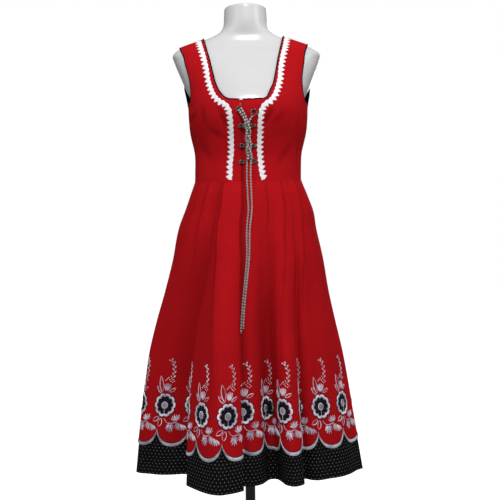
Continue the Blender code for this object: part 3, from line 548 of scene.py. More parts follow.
# How far painted shade dims every other half turn of a cord, and how far those dim bands slant round it
STRAND_DIM = 0.75
BAND_SLANT = 0.8
PLAIT_CORD = 3.1 * MM
PLAIT_SHOWN = 5.4 * MM
PLAIT_DEPTH = 2.6 * MM
PLAIT_TURNS = 3
PLAIT_POINTS = 26
LACE_APART = (4.6 * MM, 2.4 * MM)
APART_RISE = (0.75, 1.0)
LACE_END_LIFT = 3.1 * MM
LIFT_RISE = (0.96, 1.066)
# Columns: turn of the plait's strand in degrees, then x, z and lift of its lead in millimetres
LACE_LEADS = {
    "left": (240.0, ((-23.5, 1188.0, 5.9), (-17.5, 1179.0, 7.2), (-11.5, 1170.0, 8.0))),
    "middle": (0.0, ((-17.0, 1191.0, 7.2), (-12.3, 1182.5, 7.4), (-6.6, 1172.0, 8.0))),
    "right": (120.0, ((9.6, 1173.5, 6.6), (6.4, 1168.5, 7.4))),
}

# Form, with its neck straight above a height and closed at the top
FORM_PARTS = 128
FORM_ROWS = 120
FORM_MIDDLE_Z = 1.15
NECK_LOW_Z = 1.434
NECK_HALF = 56 * MM
NECK_TOP = 1476.0
NECK_RIM_DEPTH = 6.0
# Columns: depth below the neck's top, how far the rim turns inwards
NECK_RIM = (
    (5.0, 0.0),
    (3.0, 0.4),
    (1.2, 1.1),
    (0.2, 2.1),
    (0.0, 3.0),
)
NECK_CLOSING = (0.93, 0.6, 0.3)

# Embroidery: where its flower stands after a scallop's point and above the hem, and how it is stitched
FLOWER_AFTER_POINT = 0.018
FLOWER_HEIGHT = 0.182
STITCH_LOW = 0.35
STITCH_SWELL = 0.4
STITCH_THICK = 0.3 * MM
STITCH_MARGIN = 0.6 * MM
WHITE_THREAD, LAVENDER_THREAD, GREY_THREAD, BLACK_THREAD, SILVER_THREAD = range(5)

# The flower, in millimetres from its middle
# Columns: inner radius and its lobes, outer radius and its lobes, thread, parts, low, height
FLOWER_RINGS = (
    (5.0, 0.0, 27.6, 5.6, BLACK_THREAD, (2, 100), 0.25, 0.25),
    (18.8, 4.6, 22.4, 4.2, LAVENDER_THREAD, (2, 100), 0.4, 0.8),
    (21.0, 4.4, 24.6, 6.2, WHITE_THREAD, (4, 120), 0.5, 1.3),
)
MIDDLE_RING = (6.4, 0.0, 8.6, 0.0, LAVENDER_THREAD, (3, 40), 0.5, 0.7)
FLOWER_LOBES = 10
PETAL_START = 9.4
PETAL_END = 23.2
PETAL_HALF = 4.9
PETAL_DOT = 16.5
BEADS = 12

# Leaves, tulip and sprig, in millimetres from the flower's middle
TULIP_BASE = (4.0, 37.0)
SPRAY_DOTS = ((-1, 64.7), (3.2, 68.5), (7.5, 71.5), (14, 75.4), (10.4, 66.5), (15.5, 70.2), (19.8, 66.5),
              (14.2, 62.2), (23.6, 62.5), (18.9, 59.4))
SPRIG_STEM = ((20, 70), (21.5, 80), (22, 91), (21, 102), (18.5, 111), (14, 117), (7.5, 119))
SPRIG_PARTS = 12
# Columns: place along the stem, side, length
SPRIG_LEAVES = ((0.2, 1.0, 8), (0.8, -1.0, 8), (1.3, 1.0, 9), (1.9, -1.0, 9), (2.4, 1.0, 9),
                (3.0, -1.0, 8.5), (3.5, 1.0, 8.5), (4.2, -1.0, 7.5), (4.7, 1.0, 7), (5.7, -1.0, 5.5))
# Columns: base, tip, bulge, width
OUTLINED_LEAVES = (
    ((-9, 32), (-18, 77), 6.0, 1.05),
    ((-11, 30), (-28, 50), 3.6, 1.0),
    ((10, 34), (30, 44), 3.4, 0.95),
    ((-14, -31), (-34, -43), 4.6, 1.0),
    ((-8, -33), (-14, -57), 5.6, 1.0),
)
# Columns: start, end, bulge, thread
LOW_STEMS = (
    ((1.0, -33.0), (12.0, -47.0), -1.5, LAVENDER_THREAD),
    ((10.0, -46.0), (36.0, -43.0), -2.5, WHITE_THREAD),
    ((12.0, -47.0), (17.0, -52.0), 0.0, LAVENDER_THREAD),
)
# Columns: base, angles and lengths of the veins, half width, threads in turn
LOW_FANS = (
    ((33.0, -42.5), (148, 126, 104, 82, 60, 40), (15.5, 18.5, 18.5, 19, 20.5, 17), 1.75,
     (WHITE_THREAD, LAVENDER_THREAD)),
    ((17.5, -49.0), (205, 228, 250, 270, 290, 312, 335), (11.5, 17, 21.5, 23, 21.5, 17, 11.5), 1.9,
     (LAVENDER_THREAD, WHITE_THREAD, LAVENDER_THREAD)),
)
# The long leaf's veins: where the first starts, the step to the next, turn in degrees and length
LONG_LEAF_VEINS = 8
LONG_LEAF_START = (36.0, -43.5)
LONG_LEAF_STEP = (2.5, -1.35)
LONG_LEAF_TURN = (-112.0, 9.5)
LONG_LEAF_LENGTH = (17.5, 3.6)

# Scallop border, in millimetres above the red cloth's edge; it stands higher at the points
BORDER_WIDTH = 7.8
BORDER_POINT_LOW = 7.0
BORDER_POINT_HIGH = 4.5
BORDER_OVER = 0.4
BLACK_LINE = 1.8
BORDER_ROWS = 7

# Cut sizes of the cloth in metres: width, length and flat area
BODICE_CUTS = {
    "front_left": (0.22, 0.42, 0.056),
    "front_right": (0.24, 0.42, 0.068),
    "back": (0.46, 0.42, 0.136),
}

# Finishes: the sizes of their threads and dots, their unevenness and their colours
CLOTH_ROUGHNESS = 0.9
THREAD_PITCH = 0.55 * MM
STITCH_PITCH = 0.8 * MM
BRAID_THREAD = 3.1 * MM
DOT_ACROSS = 10.8 * MM
DOT_UP = 8.3 * MM
DOT_RADIUS = 0.85 * MM
DOT_SLANT = 0.46
DOT_CORE = 0.6
DOT_COLOUR = (0.44, 0.44, 0.44)
# Columns: broad and fine scale of the unevenness
TONE_SIZES = {
    "cloth": (9.0, 420.0),
    "thread": (42.0, 900.0),
    "metal": (160.0, 1500.0),
    "shell": (6.0, 260.0),
    "iron": (14.0, 700.0),
}
RED_SHADE = (0.262, 0.0028, 0.0046)
RED_LIGHT = (0.420, 0.0058, 0.0098)
BRAID_SHADE = (0.64, 0.63, 0.67)
BRAID_LIGHT = (0.78, 0.78, 0.80)
SHELL_SHADE = (0.465, 0.463, 0.472)
SHELL_LIGHT = (0.52, 0.518, 0.525)
BLACK_SHADE = (0.005, 0.005, 0.006)
BLACK_LIGHT = (0.012, 0.012, 0.014)
DOTTED_SHADE = (0.0025, 0.0025, 0.003)
DOTTED_LIGHT = (0.006, 0.006, 0.007)
EYE_SHADE = (0.012, 0.010, 0.009)
EYE_LIGHT = (0.36, 0.33, 0.29)
CORD_SHADE = (0.004, 0.004, 0.004)
CORD_LIGHT = (0.95, 0.93, 0.90)
IRON_SHADE = (0.018, 0.018, 0.020)
IRON_LIGHT = (0.055, 0.055, 0.060)
# Stitches, in the order of the thread numbers
# Columns: name, shade, light, roughness, sheen, specular
STITCHES = (
    ("white_stitches", (0.40, 0.40, 0.52), (0.92, 0.92, 0.95), 0.38, 0.3, 0.6),
    ("lavender_stitches", (0.27, 0.17, 0.30), (0.62, 0.50, 0.66), 0.38, 0.3, 0.6),
    ("grey_stitches", (0.12, 0.12, 0.15), (0.30, 0.30, 0.36), 0.38, 0.3, 0.6),
    ("black_stitches", (0.003, 0.003, 0.005), (0.008, 0.008, 0.012), 0.6, 0.0, 0.1),
    ("silver_stitches", (0.12, 0.12, 0.18), (0.54, 0.54, 0.62), 0.38, 0.3, 0.6),
)

# Surround and lights
FLOOR_RADIUS = 14.0
FLOOR_TONE = 0.30
FLOOR_GLOW = 1.0
SURROUND = 0.24
# Columns: name, place, aim, size, watts
LIGHTS = (
    ("main_light", (0.10, -2.1, 2.8), (0.0, 0.0, 1.05), 0.4, 66.0),
    ("fill_light", (-1.8, -1.6, 1.7), (0.0, 0.0, 1.0), 1.2, 13.0),
    ("side_light", (2.0, -1.3, 2.0), (0.0, 0.0, 1.0), 0.9, 18.0),
    ("back_light", (0.5, 2.6, 2.2), (0.0, 0.0, 0.9), 1.6, 34.0),
)


def smooth_table(keys, values, places):
    """Read a table at the given places, on a smooth curve through all of its rows."""
    keys = np.asarray(keys, dtype=float)
    values = np.asarray(values, dtype=float)
    places = np.clip(np.asarray(places, dtype=float), keys[0], keys[-1])
    steps = np.diff(keys)
    slopes = np.diff(values, axis=0) / steps[:, None]
    tangents = np.empty_like(values)
    tangents[0] = slopes[0]
    tangents[-1] = slopes[-1]
    before = steps[:-1, None]
    after = steps[1:, None]
    tangents[1:-1] = (slopes[:-1] * after + slopes[1:] * before) / (before + after)
    cell = np.clip(np.searchsorted(keys, places, side="right") - 1, 0, len(steps) - 1)
    share = ((places - keys[cell]) / steps[cell])[..., None]
    width = steps[cell][..., None]
    rise = share * share * (3.0 - 2.0 * share)
    ease_in = share * (1.0 - share) ** 2 * width
    ease_out = share * share * (share - 1.0) * width
    return (values[cell] * (1.0 - rise) + values[cell + 1] * rise
            + tangents[cell] * ease_in + tangents[cell + 1] * ease_out)


def smooth_step(value, start, end):
    """Rise from 0 at start to 1 at end."""
    share = np.clip((np.asarray(value, dtype=float) - start) / (end - start), 0.0, 1.0)
    return share * share * (3.0 - 2.0 * share)


def unit(vectors):
    """Give vectors the length one."""
    return vectors / np.linalg.norm(vectors, axis=-1, keepdims=True)


def lengths_along(points):
    """Distances from a line's start to each of its points."""
    steps = np.linalg.norm(np.diff(points, axis=0), axis=1)
    return np.concatenate(((0.0,), np.cumsum(steps)))


def section_at(z):
    """Half width, front, back, squareness and ease of the figure at heights z, in metres."""
    rows = np.array(FORM_SECTIONS, dtype=float)
    return np.moveaxis(smooth_table(rows[:, 0] * MM, rows[:, 1:] * SECTION_UNITS, z), -1, 0)


def figure_value(points):
    """Below zero inside the figure that the bodice is cut for, above zero outside."""
    half_width, front, back, squareness, ease = section_at(points[..., 2])
    across = np.abs(points[..., 0]) / (half_width + ease)
    along = np.abs(points[..., 1]) / np.where(points[..., 1] < 0.0, front, back)
    return across ** squareness + along ** squareness - 1.0


def figure_slopes(points):
    """How fast the figure's value grows along each axis."""
    slopes = []
    for shift in np.eye(3) * SLOPE_STEP:
        slopes.append(figure_value(points + shift) - figure_value(points - shift))
    return np.stack(slopes, axis=-1) / (2.0 * SLOPE_STEP)


def worn_askew(points, side):
    """Slide the bodice's upper part sideways over the figure, as it is worn."""
    points = points.copy()
    points[..., 0] += side * WORN_SHIFT * smooth_step(points[..., 2], *WORN_RISE)
    for _ in range(SETTLE_ROUNDS):
        slopes = figure_slopes(points)
        share = figure_value(points) / np.sum(slopes * slopes, axis=-1)
        points = points - slopes * share[..., None]
    return points


def oval_points(half_width, front, back, squareness, angles, z):
    """Points of a level oval at height z, at angles round it from the viewer's right side."""
    depth = np.where(np.sin(angles) < 0.0, front, back)
    power = 2.0 / squareness
    across = np.cos(angles)
    along = np.sin(angles)
    x = half_width * np.sign(across) * np.abs(across) ** power
    y = depth * np.sign(along) * np.abs(along) ** power
    return np.stack((x, y, z + 0.0 * x), axis=-1)


def ring_points(angles, z):
    """Points of the figure that the bodice is cut for, at heights z and angles round it."""
    half_width, front, back, squareness, ease = section_at(z)
    return oval_points(half_width + ease, front, back, squareness, angles, z)


def side_angle(x, z):
    """Angle round the figure from its side to the point whose distance from the middle is x."""
    half_width, _, _, squareness, ease = section_at(z)
    share = np.clip(x / (half_width + ease), -1.0, 1.0)
    return np.arccos(np.sign(share) * np.abs(share) ** (squareness / 2.0))


def shoulder_points(x, angles):
    """Points of the figure on rays round the shoulder axis, front at 0 and up at 90 degrees."""
    directions = np.stack((0.0 * angles, -np.cos(angles), np.sin(angles)), axis=-1)
    starts = np.stack((x, 0.0 * x, SHOULDER_AXIS_Z + 0.0 * x), axis=-1)
    near = np.zeros(x.shape)
    far = np.full(x.shape, SHOULDER_REACH)
    for _ in range(HALVINGS):
        middle = 0.5 * (near + far)
        inside = figure_value(starts + directions * middle[..., None]) < 0.0
        near = np.where(inside, middle, near)
        far = np.where(inside, far, middle)
    return starts + directions * (0.5 * (near + far))[..., None]


def lean(z):
    """Sideways shift of the figure and the dress at heights z."""
    table = np.array(LEAN, dtype=float) * MM
    return smooth_table(table[:, 0], table[:, 1:], z)[..., 0]


def waist_height(x):
    """Height of the waist seam across the figure."""
    return WAIST_FRONT_Z + WAIST_TILT * x + WAIST_SIDE_RISE * (x / WAIST_HALF) ** 2


def opening_lift(x):
    """How far the left front is raised where it laps over the right front."""
    return LAP_LIFT * smooth_step(x, *LAP_RISE)


def body_ease(points):
    """Room between figure and bodice, less where the straps rest on the shoulders."""
    return BODY_EASE + (SHOULDER_EASE - BODY_EASE) * smooth_step(points[..., 2], *STRAP_RISE)


def row_points(facing, outer_x, outer_z, inner_x, inner_z, share):
    """A row of the bodice between two places on the figure, given in millimetres."""
    start = 0.0 if outer_x is SIDE else side_angle(outer_x * MM, outer_z * MM)
    end = side_angle(inner_x * MM, inner_z * MM)
    heights = (outer_z + (inner_z - outer_z) * share) * MM
    return ring_points(facing * (start + (end - start) * share), heights)


def strap_points(rows, share):
    """Rows of a strap round the shoulder."""
    net = []
    for outer_x, outer_angle, inner_x, inner_angle in rows:
        x = (outer_x + (inner_x - outer_x) * share) * MM
        net.append(shoulder_points(x, np.radians(outer_angle + (inner_angle - outer_angle) * share)))
    return net


def waist_row(side, angles):
    """The bodice's edge at the waist seam, at angles round the figure."""
    level = ring_points(angles, np.full(angles.shape, WAIST_FRONT_Z))
    return ring_points(angles, waist_height(side * level[:, 0]) + 0.5 * SEAM_GAP)


def hem_curve(panel):
    """A panel's hem as a smooth curve: distances along it, and its points with their waist places."""
    table = np.array(PANELS[panel]["hem"], dtype=float) * MM
    keys = lengths_along(table[:, :2])
    curve = smooth_table(keys, table, np.linspace(0.0, keys[-1], HEM_PARTS))
    return lengths_along(curve[:, :2]), curve


def hem_length(panel):
    """Length of a panel's hem with all its folds."""
    return hem_curve(panel)[0][-1]


def read_hem(panel, distances):
    """Hem points and waist places at distances along a panel's hem: x, y and waist x."""
    along, curve = hem_curve(panel)
    return [np.interp(distances, along, values) for values in curve.T]


def skirt_length(hem_x, waist_x):
    """Height of the waist seam above the hem."""
    return waist_height(waist_x) - HEM_Z - HEM_TILT * hem_x


def scallop_share(panel, distances):
    """How far each place lies through its scallop, from 0 at one point to 1 at the next."""
    return np.mod((distances - PANELS[panel]["first_point"]) / SCALLOP_PITCH, 1.0)


def scallop_height(panel, distances):
    """Height of the red cloth's edge above the hem: points between round scallops."""
    beside = np.abs(2.0 * scallop_share(panel, distances) - 1.0)
    roundness = np.clip(1.0 - beside ** SCALLOP_SQUARENESS, 0.0, 1.0) ** SCALLOP_RISE
    return SCALLOP_LOW + SCALLOP_DEPTH * (1.0 - roundness)


def meet_dress(tree, start, inwards):
    """Point and outward direction where a ray meets the dress."""
    place, normal, _, _ = tree.ray_cast(start, inwards)
    normal = np.array(normal)
    return np.array(place), normal * (-np.sign(normal.dot(np.array(inwards))))


def from_front(tree, x, z):
    """Point and outward direction where a level line from the front meets the dress."""
    return meet_dress(tree, Vector((x, -SEEK_FRONT, z)), Vector((0.0, 1.0, 0.0)))


def over_shoulder(tree, x, angle):
    """Point and outward direction where a ray round the shoulder axis meets the dress."""
    inwards = Vector((0.0, math.cos(angle), -math.sin(angle)))
    return meet_dress(tree, Vector((x, 0.0, SHOULDER_AXIS_Z)) - inwards * SEEK_SHOULDER, inwards)


def seat_point(tree, point, outwards, lift):
    """Move a point onto the nearest cloth and then out from it."""
    place, normal, _, _ = tree.find_nearest(Vector(point + outwards * SEEK_LIFT))
    normal = np.array(normal)
    return np.array(place) + normal * np.sign(normal.dot(outwards)) * lift


def even_points(points, step, normals):
    """Points and directions spaced evenly along a line."""
    points = np.asarray(points)
    keys = lengths_along(points)
    count = max(2, int(round(keys[-1] / step)))
    places = np.linspace(0.0, keys[-1], count + 1)
    values = smooth_table(keys, np.concatenate((points, np.asarray(normals)), axis=1), places)
    return values[:, :3], unit(values[:, 3:])


def edge_line(edge, inside, outs):
    """Middle of the cloth along its edge, with directions beyond it and out of its face."""
    beyond = unit(np.cross(np.gradient(edge, axis=0), outs))
    beyond = beyond * np.sign(np.sum(beyond * (edge - inside)))
    return [edge - outs * 0.5 * CLOTH, beyond, outs]


def join_lines(*lines):
    """Join edge lines end to end, where each ends beside the next one's start."""
    joined = [values.copy() for values in lines[0]]
    for line in lines[1:]:
        for index, values in enumerate(line):
            joined[index][-1] = 0.5 * (joined[index][-1] + values[0])
            joined[index] = np.concatenate((joined[index], values[1:]))
    joined[1] = unit(joined[1])
    joined[2] = unit(joined[2])
    return joined


def turned(line):
    """An edge line from its other end."""
    return [values[::-1] for values in line]


def fine_rows(net):
    """Put more rows between a net's rows, on smooth curves through them."""
    net = np.array(net)
    rows, columns = net.shape[:2]
    chords = np.linalg.norm(np.diff(net, axis=0), axis=2).mean(axis=1)
    keys = np.concatenate(((0.0,), np.cumsum(chords)))
    places = np.interp(np.arange((rows - 1) * ROW_PARTS + 1) / ROW_PARTS, np.arange(rows), keys)
    return smooth_table(keys, net.reshape(rows, -1), places).reshape(len(places), columns, 3)


def crease_depth(side, points):
    """How deep the darts and creases sink the cloth at points of the front."""
    depth = np.zeros(points.shape[:-1])
    for crease_side, x0, z0, x1, z1, low, spread in BODICE_CREASES:
        if crease_side != side:
            continue
        start = np.array((x0, z0)) * MM
        run = np.array((x1, z1)) * MM - start
        place = points[..., (0, 2)] - start
        share = np.clip(np.sum(place * run, axis=-1) / np.sum(run ** 2), 0.0, 1.0)
        gap = np.linalg.norm(place - share[..., None] * run, axis=-1)
        fade = np.sin(math.pi * np.clip(CREASE_START + CREASE_RUN * share, 0.0, 1.0))
        depth += low * MM * fade * np.exp(-(gap / (spread * MM)) ** 2)
    return depth


def bodice_face(side, facing, net, lapped=False):
    """Outer face of a bodice sheet with its outward directions, from points of the figure."""
    net = worn_askew(net, side)
    lift = body_ease(net) + CLOTH
    if lapped:
        lift = lift + opening_lift(-net[..., 0])
    if facing < 0.0:
        lift = lift - crease_depth(side, net)
    normals = unit(figure_slopes(net))
    mirror = np.array((side, 1.0, 1.0))
    net = (net + normals * lift[..., None]) * mirror
    normals = normals * mirror
    seam = np.abs(net[:, 0, 1]) < SIDE_REACH
    net[seam, 0, 1] = facing * 0.5 * SEAM_GAP
    normals[seam, 0, 1] = 0.0
    return net, unit(normals)


def front_faces(side, inner_edge):
    """A bodice front: the long part up over the shoulder, and the part below the neckline."""
    outer = np.linspace(0.0, 1.0, OUTER_PARTS + 1)
    inner = np.linspace(0.0, 1.0, INNER_PARTS + 1)
    corner = side_angle(CORNER_X, WAIST_FRONT_Z)
    opening = side_angle(inner_edge, WAIST_FRONT_Z)
    long_rows = [waist_row(side, -corner * outer)]
    short_rows = [waist_row(side, -(corner + (opening - corner) * inner))]
    for outer_x, outer_z, corner_z, opening_z in FRONT_ROWS:
        long_rows.append(row_points(-1.0, outer_x, outer_z, CORNER_X / MM, corner_z, outer))
        short_rows.append(row_points(-1.0, CORNER_X / MM, corner_z, inner_edge / MM, opening_z, inner))
    for row in FRONT_UPPER_ROWS:
        long_rows.append(row_points(-1.0, *row, outer))
    long_rows.extend(strap_points(FRONT_STRAP, outer))
    long_net = fine_rows(long_rows)
    short_net = fine_rows(short_rows)
    short_net[:, 0] = long_net[:len(short_net), -1]
    lapped = side < 0
    return [bodice_face(side, -1.0, long_net, lapped), bodice_face(side, -1.0, short_net, lapped)]


def back_faces(side):
    """Half of the bodice's back."""
    share = np.linspace(0.0, 1.0, BACK_PARTS + 1)
    rows = [waist_row(side, 0.5 * math.pi * share)]
    for row in BACK_ROWS:
        rows.append(row_points(1.0, *row, share))
    rows.extend(strap_points(BACK_STRAP, share))
    return [bodice_face(side, 1.0, fine_rows(rows))]


def front_neck_line(sheets):
    """Edge line of the front neckline, from the opening up to the shoulder."""
    (long_net, long_normals), (short_net, short_normals) = sheets
    corner_row = len(short_net)
    edge = np.concatenate((short_net[-1, ::-1], long_net[corner_row:, -1]))
    inside = np.concatenate((short_net[-2, ::-1], long_net[corner_row:, -2]))
    outs = np.concatenate((short_normals[-1, ::-1], long_normals[corner_row:, -1]))
    return edge_line(edge, inside, outs)


def armhole_line(sheets):
    """Edge line of an armhole, from the underarm up to the shoulder."""
    net, normals = sheets[0]
    rows = slice(UNDERARM_ROW * ROW_PARTS, None)
    return edge_line(net[rows, 0], net[rows, 1], normals[rows, 0])


def back_neck_line(sheets):
    """Edge line of half the back neckline, from the middle up to the shoulder."""
    net, normals = sheets[0]
    rows = slice(BACK_NECK_ROW * ROW_PARTS, None)
    line = edge_line(net[rows, -1], net[rows, -2], normals[rows, -1])
    line[1][0] = (0.0, 0.0, 1.0)
    return line


def scallop_columns(panel):
    """Distances along a panel's hem, closer together at the points between scallops."""
    length = hem_length(panel)
    turns = np.arange(COLUMN_PARTS) / COLUMN_PARTS
    shares = 0.5 - 0.5 * np.cos(math.pi * turns)
    counts = np.arange(-1, math.ceil(length / SCALLOP_PITCH))
    starts = PANELS[panel]["first_point"] + SCALLOP_PITCH * counts
    inner = (starts[:, None] + SCALLOP_PITCH * shares).ravel()
    inner = inner[(inner > LEAST_COLUMN) & (inner < length - LEAST_COLUMN)]
    return np.concatenate(((0.0,), inner, (length,)))


def pleat_gap(edge, low_edge, facing, waist_x, drops):
    """Distance from a pleat's edge, which runs from edge at the waist to low_edge half way down."""
    run = 2.0 * np.minimum(drops, EDGE_RUN)
    return (waist_x - (edge + (low_edge - edge) * run) * MM) * facing


def pleat_fade(drops, reach):
    """Share of a pleat that is left at shares of the way down."""
    return 1.0 - smooth_step(drops, PLEAT_WHOLE * reach, reach)


def pleat_rise(panel, waist_x, drops):
    """Knife pleats at the waist: each top layer ends at a sharp edge and sinks away from it."""
    rise = np.zeros(np.broadcast(waist_x, drops).shape)
    for edge, low_edge, facing, depth, reach, _, _ in PANELS[panel]["pleats"]:
        gap = pleat_gap(edge, low_edge, facing, waist_x, drops)
        behind = np.exp(-np.clip(gap, 0.0, None) / (PLEAT_TAIL * MM))
        before = np.exp(-(np.clip(gap, None, 0.0) / (PLEAT_EDGE * MM)) ** 2)
        rise += depth * MM * behind * before * pleat_fade(drops, reach)
    return rise * (PLEAT_AT_SEAM + (1.0 - PLEAT_AT_SEAM) * smooth_step(drops, 0.0, PLEAT_START))


def drape_level(panel, drops):
    """Half width, depth and share of the hem's folds of a panel's side, at shares of the way down."""
    rows = np.array(DRAPE, dtype=float)
    level = smooth_table(rows[:, 0], rows[:, 1:] * DRAPE_UNITS, drops)
    half_width, front, back, folds = np.moveaxis(level, -1, 0)
    return half_width, front if PANELS[panel]["facing"] < 0.0 else back, folds


def fold_shade(panel, distances, heights):
    """How far the cloth lies in a deep fold or in the narrow shade beside a pleat's edge, from 0 to 1."""
    hem_x, hem_y, waist_x = read_hem(panel, distances)
    drops = 1.0 - heights / skirt_length(hem_x, waist_x)
    hem_width, hem_depth, _ = drape_level(panel, 1.0)
    hem_reach = np.hypot(hem_x / hem_width, hem_y / hem_depth)
    shade = np.clip((VALLEY_REACH - hem_reach) * VALLEY_DARK, 0.0, VALLEY_MOST)
    shade = shade * smooth_step(drops, *VALLEY_DROPS)
    for edge, low_edge, facing, _, reach, width, dark in PANELS[panel]["pleats"]:
        gap = pleat_gap(edge, low_edge, facing, waist_x, drops)
        spread = np.where(gap < 0.0, width, TOP_LAYER_SHADE) * MM
        near = dark * np.exp(-(gap / spread) ** 2) * pleat_fade(drops, reach)
        shade = np.maximum(shade, near)
    return shade


def drape_points(panel, distances, heights):
    """Points of a skirt panel's outer face at distances along its hem and heights above it."""
    facing = PANELS[panel]["facing"]
    hem_x, hem_y, waist_x = read_hem(panel, distances)
    drops = 1.0 - heights / skirt_length(hem_x, waist_x)
    half_width, depth, folds = drape_level(panel, drops)
    hem_width, hem_depth, _ = drape_level(panel, 1.0)
    ratio = np.clip(waist_x / WAIST_HALF, -1.0, 1.0)
    across = np.sign(ratio) * np.abs(ratio) ** WAIST_SQUARENESS
    along = np.sqrt(1.0 - across ** 2) ** (1.0 / WAIST_SQUARENESS)
    fold_x = hem_x - hem_width * ratio
    fold_y = hem_y - facing * hem_depth * along
    waves = SOFT_FOLD * np.sin(waist_x * SOFT_TURNS)
    out = pleat_rise(panel, waist_x, drops) + waves * smooth_step(drops, *SOFT_DROPS) * (1.0 - drops)
    if PANELS[panel]["lapped"]:
        out = out + opening_lift(waist_x)
    near_seam = 1.0 - smooth_step(drops, 0.0, SEAM_REACH)
    x = half_width * ratio + fold_x * folds + out * across
    y = facing * depth * along + fold_y * folds + facing * out * along
    y = y - facing * PANELS[panel]["flush"] * along * near_seam
    top = waist_height(waist_x) + PANELS[panel]["tuck"] * near_seam
    low = HEM_Z + HEM_TILT * hem_x
    return np.stack((x, y, top + (low - top) * drops), axis=-1)


def drape_face(panel, distances, heights):
    """Points of a panel's outer face at heights above the hem, with its outward directions."""
    after = np.minimum(distances + FACE_STEP, hem_length(panel))
    before = np.maximum(distances - FACE_STEP, 0.0)
    run = drape_points(panel, after, heights) - drape_points(panel, before, heights)
    above = drape_points(panel, distances, heights + FACE_STEP)
    below = drape_points(panel, distances, heights - FACE_STEP)
    return drape_points(panel, distances, heights), unit(np.cross(run, above - below))


def square_sides(panel, net, normals):
    """Trim a net's side edges to the seam's plane, with its walls square to it."""
    for column in PANELS[panel]["seams"]:
        net[:, column, 1] = PANELS[panel]["facing"] * 0.5 * SEAM_GAP
        normals[:, column, 1] = 0.0
    return net, unit(normals)


def carry_under(panel, net, normals, distances, heights):
    """Carry the right front's free edge on behind the left front, further near the hem."""
    if panel == "front_right":
        shares = np.linspace(1.0, 0.0, UNDER_PARTS, endpoint=False)
        amount = UNDER_REACH * (UNDER_MOST - smooth_step(net[:, :1, 2], *UNDER_RISE))
        onwards = unit(net[:, :1] - net[:, UNDER_COLUMN:UNDER_COLUMN + 1])
        added = net[:, :1] + onwards * (amount * shares)[..., None]
        net = np.concatenate((added, net), axis=1)
        normals = np.concatenate((np.repeat(normals[:, :1], UNDER_PARTS, axis=1), normals), axis=1)
        distances = np.concatenate((-UNDER_REACH * shares, distances))
        heights = np.concatenate((np.repeat(heights[:, :1], UNDER_PARTS, axis=1), heights), axis=1)
    return (net, normals), (distances, heights)


def skirt_face(panel):
    """Outer face of a skirt panel from its scalloped edge up to the waist."""
    distances = scallop_columns(panel)
    hem_x, _, waist_x = read_hem(panel, distances)
    edge = scallop_height(panel, distances)
    share = np.linspace(0.0, 1.0, SKIRT_PARTS + 1)[:, None]
    heights = edge + (skirt_length(hem_x, waist_x) - edge) * share
    net, normals = square_sides(panel, *drape_face(panel, distances, heights))
    return carry_under(panel, net, normals, distances, heights)


def band_face(panel):
    """Outer face of the black hem band behind the red cloth."""
    distances = scallop_columns(panel)
    heights = np.linspace(0.0, BAND_HEIGHT, BAND_PARTS + 1)[:, None] + 0.0 * distances
    net, normals = square_sides(panel, *drape_face(panel, distances, heights))
    net, normals = square_sides(panel, net - normals * (CLOTH + LAP_GAP), normals)
    return carry_under(panel, net, normals, distances, heights)


def flat_places(net):
    """Distances along a net's rows and columns, as the cloth's own flat coordinates."""
    across = np.linalg.norm(np.diff(net, axis=1), axis=2)
    across = np.concatenate((np.zeros((len(net), 1)), np.cumsum(across, axis=1)), axis=1)
    up = np.linalg.norm(np.diff(net, axis=0), axis=2)
    up = np.concatenate((np.zeros((1, net.shape[1])), np.cumsum(up, axis=0)), axis=0)
    middle = across[:, -1:] * 0.5
    return np.stack((across - middle, up, 0.0 * up), axis=-1)


def link_item(name, data):
    """Put an object into the scene."""
    item = bpy.data.objects.new(name, data)
    bpy.context.collection.objects.link(item)
    return item


def add_piece(mesh, finishes, thickness=None, replaces=()):
    """Put a finished mesh into the scene, riding on the dress's one body."""
    mesh.shade_smooth()
    for finish in finishes:
        mesh.materials.append(finish)
    piece = link_item(mesh.name, mesh)
    if thickness:
        wall = piece.modifiers.new("cloth_thickness", "SOLIDIFY")
        wall.thickness = thickness
        wall.offset = -1.0
    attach(piece, "root")
    if replaces:
        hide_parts(*replaces)
    return piece


def finished_mesh(name, body):
    """Turn a drawn body into a mesh."""
    mesh = bpy.data.meshes.new(name)
    body.to_mesh(mesh)
    body.free()
    return mesh


def mesh_points(mesh):
    """A mesh's points, a row for each."""
    points = np.empty(3 * len(mesh.vertices))
    mesh.vertices.foreach_get("co", points)
    return points.reshape(-1, 3)


def lean_mesh(mesh):
    """Shift a mesh sideways as the figure leans."""
    points = mesh_points(mesh)
    points[:, 0] += lean(points[:, 2])
    mesh.vertices.foreach_set("co", points.ravel())
    mesh.update()


def net_mesh(name, sheets):
    """A mesh over nets of points, welded where their edges meet, with flat coordinates kept."""
    body = bmesh.new()
    places = []
    flats = []
    for net, normals, flat in sheets:
        turn = np.cross(np.gradient(net, axis=1), np.gradient(net, axis=0))
        if np.sum(turn * normals) < 0.0:
            net = net[:, ::-1]
            flat = flat[:, ::-1]
        rows, columns = net.shape[:2]
        bmesh.ops.create_grid(body, x_segments=columns - 1, y_segments=rows - 1, size=1.0)
        places.append(net.reshape(-1, 3))
        flats.append(flat.reshape(-1, 3))
    mesh = bpy.data.meshes.new(name)
    body.to_mesh(mesh)
    mesh.vertices.foreach_set("co", np.concatenate(places).ravel())
    laid = mesh.attributes.new("laid_flat", "FLOAT_VECTOR", "POINT")
    laid.data.foreach_set("vector", np.concatenate(flats).ravel())
    body.clear()
    body.from_mesh(mesh)
    bmesh.ops.remove_doubles(body, verts=body.verts, dist=WELD)
    for edge in body.edges:
        edge.smooth = not edge.is_boundary
    body.to_mesh(mesh)
    body.free()
    lean_mesh(mesh)
    return mesh


